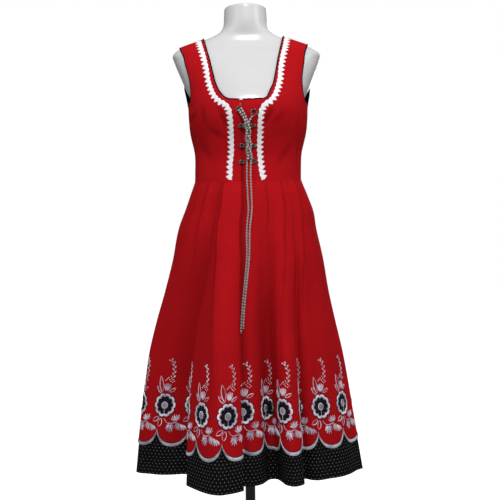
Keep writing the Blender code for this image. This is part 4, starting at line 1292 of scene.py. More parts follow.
def net_tree(sheets):
    """A search tree over nets of points, before their lean."""
    points = []
    faces = []
    for net, _, _ in sheets:
        rows, columns = net.shape[:2]
        corner = (np.arange(rows - 1)[:, None] * columns + np.arange(columns - 1)).ravel() + len(points)
        points.extend(net.reshape(-1, 3).tolist())
        faces.extend(np.stack((corner, corner + 1, corner + columns + 1, corner + columns), axis=-1).tolist())
    return BVHTree.FromPolygons(points, faces)


def tube_sheet(centres, side, up, reach, corners, closed=False):
    """Skin of a rod along a line; reach gives its radius and groove at turns round it and arcs along it."""
    centres = np.asarray(centres)
    if closed:
        centres, side, up = (np.concatenate((values, values[:1])) for values in (centres, side, up))
    arcs = lengths_along(centres)
    turns = 2.0 * math.pi * np.arange(corners + 1) / corners
    turns[-1] = 0.0
    radius, groove = reach(turns[None, :], arcs[:, None])
    offset = (side[:, None, :] * (radius * np.cos(turns))[..., None]
              + up[:, None, :] * (radius * np.sin(turns))[..., None])
    net = centres[:, None, :] + offset
    if closed:
        net[-1] = net[0]
    around = np.linspace(0.0, 1.0, corners + 1) * 2.0 * math.pi * np.max(radius)
    flat = np.stack(np.broadcast_arrays(arcs[:, None], around[None, :], groove), axis=-1)
    return net, offset, flat


def ring_sheet(path, normal, reach, corners):
    """Skin of a closed ring of wire that lies square to one direction."""
    along = unit(np.roll(path, -1, axis=0) - np.roll(path, 1, axis=0))
    outs = np.tile(normal, (len(path), 1))
    return tube_sheet(path, unit(np.cross(along, outs)), outs, reach, corners, True)


def tube_mesh(name, sheets):
    """Rods and rings of any section, with their ends closed."""
    mesh = net_mesh(name, sheets)
    body = bmesh.new()
    body.from_mesh(mesh)
    rims = [edge for edge in body.edges if edge.is_boundary]
    bmesh.ops.holes_fill(body, edges=rims, sides=0)
    bmesh.ops.recalc_face_normals(body, faces=body.faces)
    body.to_mesh(mesh)
    body.free()
    return mesh


def steady_frames(points, hint):
    """Directions along a line, and a pair across it that turn as little as they can."""
    along = unit(np.gradient(points, axis=0))
    side = np.empty_like(along)
    current = np.asarray(hint, dtype=float)
    for index, direction in enumerate(along):
        current = current - direction * np.dot(current, direction)
        current = current / np.linalg.norm(current)
        side[index] = current
    return side, np.cross(along, side)


def twist_reach(radius, pitch, sense):
    """Section of a twisted cord: round strands side by side that turn along the line. Its second value is
    painted light, dark in the grooves between strands and dimmed as painted shade on every other half turn.
    """
    strand = STRAND_SHARE * radius
    offset = radius - strand

    def reach(turns, arcs):
        turn = turns - sense * 2.0 * math.pi * arcs / pitch
        band = 2.0 * math.pi * arcs / pitch - sense * BAND_SLANT * np.sin(turns)
        half = math.pi / STRANDS
        lobe = np.mod(turn + half, 2.0 * half) - half
        size = offset * np.cos(lobe) + np.sqrt(np.maximum(strand ** 2 - (offset * np.sin(lobe)) ** 2, 0.0))
        groove = (size - size.min()) / max(size.max() - size.min(), 1e-9)
        return size, groove * (1.0 - STRAND_DIM * (np.cos(band) < 0.0))
    return reach


def plain_reach(radius):
    """A plain round section, whose third flat value is one all round: full painted light under the metal
    finish, and full painted fold shade under the cloth finish.
    """
    def reach(turns, arcs):
        ones = np.ones(np.broadcast(turns, arcs).shape)
        return radius * ones, ones
    return reach


def piping_sheet(line, closed):
    """Round piping just outside the edge that a line of points follows."""
    middle, beyond, _ = line
    steps = np.roll(middle, -1, axis=0) - middle
    if not closed:
        steps[-1] = steps[-2]
    steps = unit(steps)
    along = unit(steps + np.roll(steps, 1, axis=0))
    if not closed:
        along[0] = steps[0]
    beyond = unit(beyond - along * np.sum(beyond * along, axis=1, keepdims=True))
    centres = middle + beyond * (PIPING_SHOWN + PIPING_SEAT)
    outs = unit(np.cross(along, beyond))
    return tube_sheet(centres, beyond, outs, plain_reach(PIPING_SHOWN), PIPING_CORNERS, closed)


def tooth_shape(share):
    """Outer reach of the braid along one tooth: a point that leans a little up the dress."""
    return np.where(share < TOOTH_LEAN, share / TOOTH_LEAN, (1.0 - share) / (1.0 - TOOTH_LEAN))


def trim_sheet(tree, points, normals, tooth_side):
    """Braid with pointed teeth on its outer edge, domed and laid on the cloth along a line."""
    centres, outs = even_points(points, TRIM_STEP, normals)
    arcs = np.arange(len(centres)) * TRIM_STEP
    along = unit(np.gradient(centres, axis=0))
    sides = unit(np.cross(outs, along)) * tooth_side
    share = np.mod(arcs / TOOTH_PITCH, 1.0)
    wave = 0.5 - 0.5 * np.cos(2.0 * math.pi * share)
    outer = TRIM_HALF - TOOTH_INSET * TOOTH_SHOWN + TOOTH_SHOWN * tooth_shape(share)
    inner = -TRIM_HALF + TRIM_WAVE * wave
    net = np.empty((len(centres), TRIM_COLUMNS, 3))
    flat = np.empty_like(net)
    for column, place in enumerate(np.linspace(-1.0, 1.0, TRIM_COLUMNS)):
        reach = inner + (outer - inner) * (0.5 + 0.5 * place)
        slant = (arcs + TRIM_SLANT * reach) / TOOTH_PITCH
        ridge = 0.5 + 0.5 * np.cos(2.0 * math.pi * (slant - TOOTH_LEAN))
        dome = max(1.0 - abs(place) ** 3, 0.0)
        lift = TRIM_LOW + TRIM_DOME * dome * (1.0 - TRIM_RIDGE + TRIM_RIDGE * ridge)
        for row in range(len(centres)):
            spot = centres[row] + sides[row] * reach[row]
            net[row, column] = seat_point(tree, spot, outs[row], lift[row])
        # The ridge is kept as the third flat value, which the braid's finish paints as light on its plaits
        # and shade between them.
        flat[:, column] = np.stack((reach, arcs, ridge), axis=-1)
    return net, np.repeat(outs[:, None, :], TRIM_COLUMNS, axis=1), flat


def make_trims(tree, backs, white):
    """Toothed white braid down each front, and round the back neckline."""
    made = {}
    for name, side in SIDES.items():
        places = [from_front(tree, (side * x + shift) * MM, z * MM) for x, z, shift in TRIM_PATH]
        for x, angle, shift in TRIM_STRAP:
            places.append(over_shoulder(tree, (side * x + shift) * MM, math.radians(angle)))
        points, normals = zip(*places)
        mesh = net_mesh("braid_front_" + name, [trim_sheet(tree, points, normals, -side)])
        made[name] = add_piece(mesh, [white], TRIM_THICK, ["trim_front_" + name])
    middle, beyond, outs = join_lines(turned(back_neck_line(backs[0])), back_neck_line(backs[1]))
    mesh = net_mesh("braid_back", [trim_sheet(tree, middle - beyond * TRIM_INSET, outs, BACK_TOOTH_SIDE)])
    made["back"] = add_piece(mesh, [white], TRIM_THICK, ["trim_back"])
    return made


def make_piping(fronts, backs, black):
    """Black piping round the neckline and both armholes."""
    neck_left = front_neck_line(fronts[0])
    neck_right = [values[RIGHT_NECK_START:] for values in front_neck_line(fronts[1])]
    line = join_lines(neck_left, turned(back_neck_line(backs[0])), back_neck_line(backs[1]),
                      turned(neck_right))
    mesh = tube_mesh("piping_neckline", [piping_sheet(line, False)])
    made = [add_piece(mesh, [black], replaces=["neck_piping"])]
    for name, front, back in zip(SIDES, fronts, backs):
        line = join_lines(armhole_line(front), turned(armhole_line(back)))
        for values in line:
            values[0] = 0.5 * (values[0] + values[-1])
        line = [values[:-1] for values in line]
        line[1] = unit(line[1])
        mesh = tube_mesh("piping_armhole_" + name, [piping_sheet(line, True)])
        made.append(add_piece(mesh, [black], replaces=["armhole_piping_" + name]))
    return made


def surface_frame(tree, x, z):
    """Point on the front, with directions across, up and out of the cloth."""
    place, normal = from_front(tree, x, z)
    across = unit(np.cross(np.array((0.0, 0.0, 1.0)), normal))
    across = across * np.sign(across[0])
    upwards = unit(np.cross(normal, across))
    return place, across, upwards * np.sign(upwards[2]), normal


def oval_path(centre, across, upwards, narrow=1.0):
    """Points round a closed oval, from directions as long as its half width and half height."""
    return centre + np.outer(np.cos(EYE_TURNS), across) + np.outer(np.sin(EYE_TURNS) * narrow, upwards)


def make_eyes(tree, silver):
    """Rope-rimmed metal eyes for the lacing, drops below the first pair."""
    for name, x, z, width, height, seat_x in LACE_EYES:
        seat, across, upwards, normal = surface_frame(tree, seat_x * MM, z * MM)
        centre = seat + across * (x - seat_x) * MM + normal * (LAP_GAP + EYE_LIFT)
        outward = -1.0 if x < 0.0 else 1.0
        point = 0.0 if name.endswith("_1") else EYE_POINT
        narrow = 1.0 - point * (0.5 + 0.5 * outward * np.cos(EYE_TURNS)) ** 1.5
        path = oval_path(centre, across * (0.5 * width * MM - EYE_WIRE),
                         upwards * (0.5 * height * MM - EYE_WIRE), narrow)
        length = lengths_along(np.concatenate((path, path[:1])))[-1]
        pitch = length / round(length / EYE_TWIST)
        reach = twist_reach(EYE_WIRE, 2.0 * pitch, 1.0)
        mesh = tube_mesh("rope_eye_" + name, [ring_sheet(path, normal, reach, EYE_CORNERS)])
        add_piece(mesh, [silver], replaces=["lace_eye_" + name])


def make_hook(tree, silver):
    """The wire hook at the top of the opening."""
    seat, across, upwards, normal = surface_frame(tree, (HOOK_X - HOOK_OUT) * MM, HOOK_Z * MM)
    centre = seat + across * HOOK_OUT * MM + normal * (LAP_GAP + HOOK_WIRE)
    path = oval_path(centre, across * HOOK_HALF_WIDTH, upwards * HOOK_HALF_HEIGHT)
    mesh = tube_mesh("neck_hook", [ring_sheet(path, normal, plain_reach(HOOK_WIRE), HOOK_CORNERS)])
    add_piece(mesh, [silver], replaces=["closing_hook"])


def cord_mesh(name, points, sense, radius=CORD_SHOWN):
    """A twisted cord along a line of points, and the points that its rings stand round."""
    keys = lengths_along(points)
    centres = smooth_table(keys, points, np.linspace(0.0, keys[-1], int(keys[-1] / CORD_RING) + 1))
    side, up = steady_frames(centres, (1.0, 0.0, 0.0))
    reach = twist_reach(radius, CORD_TWIST, sense)
    mesh = tube_mesh(name, [tube_sheet(centres, side, up, reach, CORD_CORNERS)])
    centres[:, 0] += lean(centres[:, 2])
    return mesh, centres


def make_plait(tree, silver):
    """Three strands plaited between the eyes, with their leads from the first pair."""
    share = np.linspace(0.0, 1.0, PLAIT_POINTS)
    turn = 2.0 * math.pi * PLAIT_TURNS / 3.0 * share
    axis_x = PLAIT_TOP[0] + (PLAIT_LOW[0] - PLAIT_TOP[0]) * share
    axis_z = PLAIT_TOP[1] + (PLAIT_LOW[1] - PLAIT_TOP[1]) * share
    frames = [surface_frame(tree, x, z) for x, z in zip(axis_x, axis_z)]
    places, acrosses, _, normals = (np.array(values) for values in zip(*frames))
    for name, (phase, lead) in LACE_LEADS.items():
        phase = math.radians(phase)
        across = PLAIT_SHOWN * np.sin(turn + phase)
        depth = PLAIT_DEPTH * np.sin(2.0 * (turn + phase))
        strand = places + acrosses * across[:, None] + normals * (PLAIT_LIFT + depth)[:, None]
        start = []
        for x, z, lift in lead:
            place, _, _, normal = surface_frame(tree, x * MM, z * MM)
            start.append(place + normal * lift * MM)
        mesh, _ = cord_mesh("lace_" + name, np.concatenate((start, strand)), 1.0, PLAIT_CORD)
        add_piece(mesh, [silver], replaces=["lacing_" + name])


def make_lace_ends(tree, skirt_tree, silver):
    """The two ends of the lacing, which hang side by side down the skirt."""
    table = np.array(LACE_END_PATH)
    heights = np.linspace(table[0, 1], table[-1, 1], LACE_END_POINTS)
    line = smooth_table(-table[:, 1], table, -heights) * MM
    for name, side in SIDES.items():
        points = []
        for x, z in line:
            seam = waist_height(x)
            level = min(z, seam - SEAM_GAP) if z < seam else max(z, seam + SEAM_GAP)
            apart = LACE_APART[1] + (LACE_APART[0] - LACE_APART[1]) * smooth_step(z, *APART_RISE)
            place, _ = from_front(skirt_tree if z < seam else tree, x + side * apart, level)
            place[2] = z
            lift = LACE_END_LIFT + (PLAIT_LIFT - LACE_END_LIFT) * smooth_step(z, *LIFT_RISE)
            points.append(place + np.array((0.0, -lift, 0.0)))
        points = np.array(points)
        points[1:-1] = 0.25 * points[:-2] + 0.5 * points[1:-1] + 0.25 * points[2:]
        if name == "right":
            points = points[:-1]
        mesh, centres = cord_mesh("lace_hanging_" + name, points, side)
        piece = add_piece(mesh, [silver], replaces=["lace_end_" + name])


def form_section(z):
    """The bare form's section at a height, with a straight neck."""
    if z <= NECK_LOW_Z:
        return section_at(z)[:4]
    low_row, high_row = FORM_SECTIONS[-3:-1]
    low, high = (np.array(row[1:]) * SECTION_UNITS for row in (low_row, high_row))
    share = (z / MM - low_row[0]) / (high_row[0] - low_row[0])
    return (low + (high - low) * min(share, 1.0))[:4]


def make_form(white):
    """The smooth white form, with its neck closed and a blind socket for the pole."""
    turns = np.linspace(0.0, 2.0 * math.pi, FORM_PARTS + 1)
    turns[-1] = 0.0
    depths = np.array([depth for depth, _ in NECK_RIM])
    straight = np.linspace(FORM_SECTIONS[0][0], NECK_TOP - NECK_RIM_DEPTH, FORM_ROWS)[:-1]
    heights = np.concatenate((straight, NECK_TOP - depths)) * MM
    rows = [oval_points(*form_section(z), turns, z) for z in heights]
    rim = rows[-len(NECK_RIM)]
    for row, (_, inwards) in zip(range(-len(NECK_RIM), 0), NECK_RIM):
        rows[row] = np.concatenate((rim[:, :2] * (1.0 - inwards * MM / NECK_HALF), rows[row][:, 2:]), axis=1)
    rows.extend([rows[-1] * np.array((share, share, 1.0)) for share in NECK_CLOSING])
    circle = np.stack((np.cos(turns), np.sin(turns), 0.0 * turns), axis=-1) * SOCKET_RADIUS
    socket = [circle + (0.0, 0.0, z) for z in (SOCKET_TOP_Z, heights[0])]
    net = np.array(socket + rows)
    mesh = tube_mesh("form_shell", [(net, net - (0.0, 0.0, FORM_MIDDLE_Z), 0.0 * net)])
    add_piece(mesh, [white], replaces=["dress_form"])


def turned_mesh(name, profile, steps):
    """A closed turned shape from its outline, given from the bottom up."""
    body = bmesh.new()
    corners = [body.verts.new((radius, 0.0, z)) for radius, z in profile]
    edges = [body.edges.new(pair) for pair in zip(corners, corners[1:])]
    bmesh.ops.spin(body, geom=corners + edges, cent=(0.0, 0.0, 0.0), axis=(0.0, 0.0, 1.0),
                   angle=2.0 * math.pi, steps=steps, use_merge=True)
    bmesh.ops.remove_doubles(body, verts=body.verts, dist=WELD)
    bmesh.ops.recalc_face_normals(body, faces=body.faces)
    return finished_mesh(name, body)


def corner_points(corner, radius, z):
    """A rounded corner of a turned outline at a radius and height."""
    return [(radius + out * MM, z + up * MM) for out, up in corner]


def make_stand(iron):
    """The round pole and the turned base with its collar."""
    top = SOCKET_TOP_Z - SEAM_GAP
    low = COLLAR_TOP + SEAM_GAP
    outline = ((0.0, low), (POLE_RADIUS, low), (POLE_RADIUS, top), (0.0, top))
    pole = turned_mesh("round_pole", outline, POLE_STEPS)
    slope = (0.5 * BASE_RADIUS, 0.6 * BASE_EDGE + 0.4 * BASE_HEIGHT)
    profile = ((0.0, 0.0), *corner_points(LOW_CORNER, BASE_RADIUS, 0.0),
               *corner_points(TOP_CORNER, BASE_RADIUS, BASE_EDGE), slope,
               *corner_points(COLLAR_FOOT, COLLAR_RADIUS, BASE_HEIGHT),
               *corner_points(TOP_CORNER, COLLAR_RADIUS, COLLAR_TOP), (0.0, COLLAR_TOP))
    base = turned_mesh("round_base", profile, BASE_STEPS)
    for mesh, sharp, node in ((pole, 40.0, "stand_pole"), (base, 50.0, "stand_base")):
        add_piece(mesh, [iron], replaces=[node])
        mesh.set_sharp_from_angle(angle=math.radians(sharp))


def add_patch(body, layer, parts, place, finish):
    """A small domed patch of satin stitch; place(across, along) gives its point and thread place."""
    made = bmesh.ops.create_grid(body, x_segments=parts[0], y_segments=parts[1], size=0.5)
    for vertex in made["verts"]:
        u, v, lift, thread = place(2.0 * vertex.co.x, vertex.co.y + 0.5)
        vertex[layer] = (thread * MM, v * MM, u * MM)
        vertex.co = (u * MM, v * MM, lift * MM)
    faces = list({face for vertex in made["verts"] for face in vertex.link_faces})
    for face in faces:
        face.material_index = finish
        face.normal_update()
    if sum(face.normal.z * face.calc_area() for face in faces) < 0.0:
        bmesh.ops.reverse_faces(body, faces=faces)


def stitch_band(body, layer, start, end, half_width, bulge, finish, fullness, height, parts=(3, 9)):
    """A band of satin stitch from start to end, bowed sideways by bulge, narrow at both ends."""
    start = np.array(start, dtype=float)
    run = np.array(end, dtype=float) - start
    length = np.linalg.norm(run)
    side = np.array((-run[1], run[0])) / length

    def place(across, along):
        swell = max(math.sin(math.pi * min(max(along, 0.0), 1.0)), 0.0)
        middle = start + run * along + side * bulge * swell
        slope = run / length + side * bulge * math.pi * math.cos(math.pi * along) / length
        slope = slope / np.linalg.norm(slope)
        normal = np.array((-slope[1], slope[0]))
        spot = middle + normal * across * half_width * swell ** fullness
        lift = STITCH_LOW + height * math.sqrt(max(1.0 - across ** 2, 0.0)) * swell ** STITCH_SWELL
        return spot[0], spot[1], lift, along * length
    add_patch(body, layer, parts, place, finish)


def stitch_dot(body, layer, centre, radius, finish, height, parts):
    """A round dot of stitches."""
    def place(across, along):
        up = 2.0 * along - 1.0
        u = across * math.sqrt(1.0 - 0.5 * up ** 2)
        v = up * math.sqrt(1.0 - 0.5 * across ** 2)
        lift = STITCH_LOW + height * math.sqrt(max(1.0 - u * u - v * v, 0.0))
        return centre[0] + radius * u, centre[1] + radius * v, lift, radius * v
    add_patch(body, layer, (parts, parts), place, finish)


def lobe_share(angle):
    """Swell of the flower's lobes round its rim, with a notch between each two."""
    share = math.fmod(FLOWER_LOBES * (angle / (2.0 * math.pi) + 0.25) + 100.0, 1.0)
    return math.sqrt(max(1.0 - abs(2.0 * share - 1.0) ** 2.4, 0.0))


def stitch_ring(body, layer, inner, inner_lobes, outer, outer_lobes, finish, parts, low, height):
    """A closed ring of radial stitches between two radii, each with lobes of its own size."""
    def place(across, along):
        angle = 2.0 * math.pi * along
        share = 0.5 + 0.5 * across
        lobes = lobe_share(angle)
        radius = (inner + inner_lobes * lobes) * (1.0 - share) + (outer + outer_lobes * lobes) * share
        lift = low + height * math.sqrt(max(1.0 - across ** 2, 0.0))
        return radius * math.cos(angle), radius * math.sin(angle), lift, angle * (outer + outer_lobes)
    add_patch(body, layer, parts, place, finish)


def stitch_beads(body, layer, count, ring, radius, finish, height, parts):
    """Dots in a ring round the flower's middle."""
    for bead in range(count):
        angle = 2.0 * math.pi * bead / count
        centre = (ring * math.cos(angle), ring * math.sin(angle))
        stitch_dot(body, layer, centre, radius, finish, height, parts)


def stitch_flower(body, layer):
    """The round flower: black ground, lobed rim, black petals, a beaded ring and a grey middle."""
    for ring in FLOWER_RINGS:
        stitch_ring(body, layer, *ring)
    step = 2.0 * math.pi / FLOWER_LOBES
    for petal in range(FLOWER_LOBES):
        angle = -0.5 * math.pi + step * (petal + 0.5)
        out = np.array((math.cos(angle), math.sin(angle)))
        stitch_band(body, layer, out * PETAL_START, out * PETAL_END, PETAL_HALF, 0.0, BLACK_THREAD,
                    0.5, 1.5, (4, 8))
        stitch_dot(body, layer, out * PETAL_DOT + (0.3, 0.4), 0.7, GREY_THREAD, 1.9, 2)
    stitch_band(body, layer, (0.0, -8.5), (0.0, -22.5), 0.9, 0.0, LAVENDER_THREAD, 0.2, 1.6)
    stitch_ring(body, layer, *MIDDLE_RING)
    stitch_beads(body, layer, BEADS, 8.4, 1.5, WHITE_THREAD, 1.6, 3)
    stitch_dot(body, layer, (0.0, 0.0), 6.0, GREY_THREAD, 0.9, 8)
    stitch_beads(body, layer, 6, 3.4, 0.9, BLACK_THREAD, 1.7, 2)


def stitch_leaf(body, layer, base, tip, bulge, width):
    """A leaf drawn by two bowed bands that meet at its base and tip."""
    for side, finish in ((1.0, WHITE_THREAD), (-1.0, LAVENDER_THREAD)):
        stitch_band(body, layer, base, tip, width, side * bulge, finish, 0.25, 0.9, (3, 12))


def stitch_tulip(body, layer):
    """A bud of upright bands with a spray of dots over it."""
    base = np.array(TULIP_BASE)
    for strand in range(-3, 4):
        end = base + np.array((strand * 3.0 + 1.5, 21.5 - 1.0 * abs(strand)))
        finish = WHITE_THREAD if abs(strand) in (1, 3) else LAVENDER_THREAD
        stitch_band(body, layer, base + (0.5 * strand, 0.0), end, 1.25, -0.7 * strand, finish, 0.35, 1.0)
    for dot in SPRAY_DOTS:
        stitch_dot(body, layer, dot, 1.5, WHITE_THREAD, 1.2, 3)


def stitch_sprig(body, layer):
    """A stem that curls at its tip, with small leaves in pairs."""
    keys = np.arange(len(SPRIG_STEM))
    for share in range(SPRIG_PARTS):
        ends = smooth_table(keys, SPRIG_STEM, np.array((share, share + 1.08)) * keys[-1] / SPRIG_PARTS)
        stitch_band(body, layer, ends[0], ends[1], 0.65, 0.0, LAVENDER_THREAD, 0.1, 0.6, (2, 4))
    for place, side, length in SPRIG_LEAVES:
        start, ahead = smooth_table(keys, SPRIG_STEM, np.array((place, place + 0.1)))
        along = (ahead - start) / np.linalg.norm(ahead - start)
        out = np.array((along[1], -along[0])) * side
        stitch_band(body, layer, start + out * 0.8, start + (out * 0.62 + along * 0.78) * length, 1.5,
                    0.0, WHITE_THREAD, 0.7, 1.1)


def stitch_fan(body, layer, base, angles, lengths, half_width, finishes):
    """Narrow bands that spread from one base, as the veins of a leaf do."""
    for index, (angle, length) in enumerate(zip(angles, lengths)):
        out = np.array((math.cos(math.radians(angle)), math.sin(math.radians(angle))))
        start = np.array(base) + out * 1.5
        stitch_band(body, layer, start, np.array(base) + out * length, half_width, 0.0,
                    finishes[index % len(finishes)], 0.6, 1.1)


def stitch_low_leaves(body, layer):
    """Three veined leaves on a stem below the flower."""
    for start, end, bulge, finish in LOW_STEMS:
        stitch_band(body, layer, start, end, 0.9, bulge, finish, 0.15, 0.7)
    for fan in LOW_FANS:
        stitch_fan(body, layer, *fan)
    for vein in range(LONG_LEAF_VEINS):
        start = np.array(LONG_LEAF_START) + np.array(LONG_LEAF_STEP) * vein
        turn = math.radians(LONG_LEAF_TURN[0] + LONG_LEAF_TURN[1] * vein)
        length = LONG_LEAF_LENGTH[0] + LONG_LEAF_LENGTH[1] * math.sin(0.5 * vein)
        end = start + length * np.array((math.cos(turn), math.sin(turn)))
        finish = WHITE_THREAD if vein % 3 else LAVENDER_THREAD
        stitch_band(body, layer, start, end, 1.7, 1.6, finish, 0.6, 1.1)


def motif_mesh():
    """One repeat of the embroidery, laid flat round the middle of its flower."""
    body = bmesh.new()
    layer = body.verts.layers.float_vector.new("laid_flat")
    stitch_flower(body, layer)
    for leaf in OUTLINED_LEAVES:
        stitch_leaf(body, layer, *leaf)
    stitch_tulip(body, layer)
    stitch_sprig(body, layer)
    stitch_low_leaves(body, layer)
    bmesh.ops.remove_doubles(body, verts=body.verts, dist=WELD)
    return finished_mesh("flower_repeat", body)


def embroider(panel, motif, threads):
    """Lay the repeats along a panel, cut them at its side edges, and seat them on the cloth."""
    length = hem_length(panel)
    body = bmesh.new()
    first = PANELS[panel]["first_point"] + FLOWER_AFTER_POINT
    for repeat in range(-1, math.ceil(length / SCALLOP_PITCH) + 1):
        start = len(body.verts)
        body.from_mesh(motif)
        body.verts.ensure_lookup_table()
        bmesh.ops.translate(body, verts=body.verts[start:],
                            vec=(first + repeat * SCALLOP_PITCH, FLOWER_HEIGHT, 0.0))
    for cut, outward in ((STITCH_MARGIN, -1.0), (length - STITCH_MARGIN, 1.0)):
        geometry = body.verts[:] + body.edges[:] + body.faces[:]
        bmesh.ops.bisect_plane(body, geom=geometry, plane_co=(cut, 0.0, 0.0),
                               plane_no=(outward, 0.0, 0.0), clear_outer=True)
    mesh = finished_mesh("embroidery_" + panel, body)
    flat = mesh_points(mesh)
    places, outs = drape_face(panel, flat[:, 0], flat[:, 1])
    mesh.vertices.foreach_set("co", (places + outs * flat[:, 2:]).ravel())
    lean_mesh(mesh)
    return add_piece(mesh, threads, STITCH_THICK)


def scallop_border(panel, silver, black):
    """Satin border along the scallops, with a thin black line inside it."""
    distances = scallop_columns(panel)
    edge = scallop_height(panel, distances)
    middle = np.sin(math.pi * scallop_share(panel, distances))
    silver_low = BORDER_POINT_LOW * (1.0 - middle) ** 3 - BORDER_OVER
    silver_high = BORDER_WIDTH + BORDER_POINT_HIGH * (1.0 - middle) ** 2
    black_low = -BORDER_OVER + 0.0 * middle
    black_high = silver_high + BLACK_LINE
    share = np.linspace(0.0, 1.0, BORDER_ROWS)[:, None]
    made = []
    for name, slot, finish, low, high, lift, dome in (
            ("silver", "white_braid", silver, silver_low, silver_high, 0.5, 1.2),
            ("black", "black_cloth", black, black_low, black_high, 0.2, 0.3)):
        heights = edge + (low + (high - low) * share) * MM
        net, outs = drape_face(panel, distances, heights)
        rise = (lift + dome * np.sqrt(1.0 - (2.0 * share - 1.0) ** 2)) * MM
        flat = np.stack(np.broadcast_arrays(distances, heights, 0.0), axis=-1)
        mesh = net_mesh("scallop_" + name + "_" + panel, [(net + outs * rise[..., None], outs, flat)])
        made.append(add_piece(mesh, [finish], STITCH_THICK))
    return made


def bodice_shade(name, net):
    """How far the cloth of a front lies in a dart, a crease or the opening's shade, from 0 to 1."""
    side = -1.0 if name == "front_left" else 1.0
    shade = np.clip(crease_depth(side, net * (side, 1.0, 1.0)) / DARKEST_CREASE, 0.0, CREASE_DARK)
    if side > 0.0:
        gap = net[..., 0] - OPENING_X
        low = 1.0 - smooth_step(net[..., 2], *SHADE_RISE)
        fade = SHADE_HIGH + (1.0 - SHADE_HIGH) * low
        shade = np.maximum(shade, np.exp(-(gap / SHADE_WIDE) ** 2) * fade)
    return shade


def make_bodice(red, black):
    """The two fronts, the back, and the black lining that shows in the armholes."""
    fronts = (front_faces(-1.0, -OPENING_X), front_faces(1.0, UNDERLAP_X))
    backs = [back_faces(-1.0), back_faces(1.0)]
    sheets = {"front_left": fronts[0], "front_right": fronts[1], "back": backs[0] + backs[1]}
    pieces = {}
    tree_sheets = []
    for name, faces in sheets.items():
        laid = []
        for net, normals in faces:
            flat = flat_places(net)
            if name != "back":
                flat[..., 2] = bodice_shade(name, net)
            if laid and name != "back":
                flat[..., 0] += laid[0][2][:len(flat), -1:, 0] - flat[:, :1, 0]
            laid.append((net, normals, flat))
        mesh = net_mesh("bodice_cloth_" + name, laid)
        pieces[name] = add_piece(mesh, [red], CLOTH_SHOWN, ["bodice_" + name])
        tree_sheets.extend(laid)
    rows = slice(UNDERARM_ROW * ROW_PARTS, (UNDERARM_ROW + LINING_ROWS) * ROW_PARTS + 1)
    for name, faces in zip(SIDES, backs):
        net, normals = (values[rows, 1:LINING_PARTS] for values in faces[0])
        strip = net - normals * (CLOTH + LINING_GAP)
        mesh = net_mesh("lining_armhole_" + name, [(strip, normals, flat_places(strip))])
        pieces["lining_" + name] = add_piece(mesh, [black], LINING, ["armhole_lining_" + name])
    return pieces, net_tree(tree_sheets), fronts, backs


def make_skirt(red, dotted, threads):
    """Three skirt panels over their black hem bands, with their embroidery and borders."""
    pieces = {}
    tree_sheets = []
    motif = motif_mesh()
    for panel in PANELS:
        (net, normals), (distances, heights) = skirt_face(panel)
        shade = fold_shade(panel, np.maximum(distances, 0.0), heights)
        flat = np.stack(np.broadcast_arrays(distances, heights, shade), axis=-1)
        mesh = net_mesh("skirt_cloth_" + panel, [(net, normals, flat)])
        pieces[panel] = add_piece(mesh, [red], CLOTH_SHOWN, ["skirt_" + panel])
        tree_sheets.append((net, normals, flat))
        (net, normals), (distances, heights) = band_face(panel)
        flat = np.stack(np.broadcast_arrays(distances, heights, 0.0), axis=-1)
        mesh = net_mesh("dotted_band_" + panel, [(net, normals, flat)])
        pieces["band_" + panel] = add_piece(mesh, [dotted], CLOTH_SHOWN, ["hem_band_" + panel])
        pieces["stitches_" + panel] = [
            embroider(panel, motif, threads[:SILVER_THREAD]),
            *scallop_border(panel, threads[SILVER_THREAD], threads[BLACK_THREAD])]
    bpy.data.meshes.remove(motif)
    return pieces, net_tree(tree_sheets)


def make_node(tree, kind, inputs=None, **settings):
    """Add a shader node, with its settings, values and links."""
    made = tree.nodes.new(kind)
    for name, value in settings.items():
        setattr(made, name, value)
    for name, value in (inputs or {}).items():
        if isinstance(value, bpy.types.NodeSocket):
            tree.links.new(value, made.inputs[name])
        else:
            made.inputs[name].default_value = value
    return made


def math_node(tree, operation, first, second=0.0, third=0.0):
    """Add a node that works on up to three values, and give its result."""
    made = make_node(tree, "ShaderNodeMath", {0: first, 1: second, 2: third}, operation=operation)
    return made.outputs[0]


def times(tree, first, second):
    """Multiply two values."""
    return math_node(tree, "MULTIPLY", first, second)


def shared_sum(tree, *parts):
    """Add values, each times its share."""
    total = 0.0
    for value, share in parts:
        total = math_node(tree, "MULTIPLY_ADD", value, share, total)
    return total


def stretched(tree, value, low, high):
    """Stretch a value so that low gives 0 and high gives 1."""
    made = make_node(tree, "ShaderNodeMapRange", {"Value": value, "From Min": low, "From Max": high})
    return made.outputs["Result"]


def zero_to_one(tree, angle):
    """A wave between 0 and 1 at an angle."""
    return math_node(tree, "MULTIPLY_ADD", math_node(tree, "SINE", angle), 0.5, 0.5)


def axes_of(tree, vector):
    """A vector's parts along its axes."""
    return make_node(tree, "ShaderNodeSeparateXYZ", {0: vector}).outputs


def laid_place(tree):
    """Place on the cloth laid flat, along a cord or across a braid, with its own third value: painted shade
    on the cloth, and painted light and shade on cords and braid.
    """
    return make_node(tree, "ShaderNodeAttribute", attribute_name="laid_flat").outputs["Vector"]


def new_group(name, inputs, outputs):
    """Start a node group with named sockets."""
    group = bpy.data.node_groups.new(name, "ShaderNodeTree")
    for label, kind in inputs:
        group.interface.new_socket(name=label, in_out="INPUT", socket_type="NodeSocket" + kind)
    for label, kind in outputs:
        group.interface.new_socket(name=label, in_out="OUTPUT", socket_type="NodeSocket" + kind)
    return group, group.nodes.new("NodeGroupInput").outputs, group.nodes.new("NodeGroupOutput").inputs


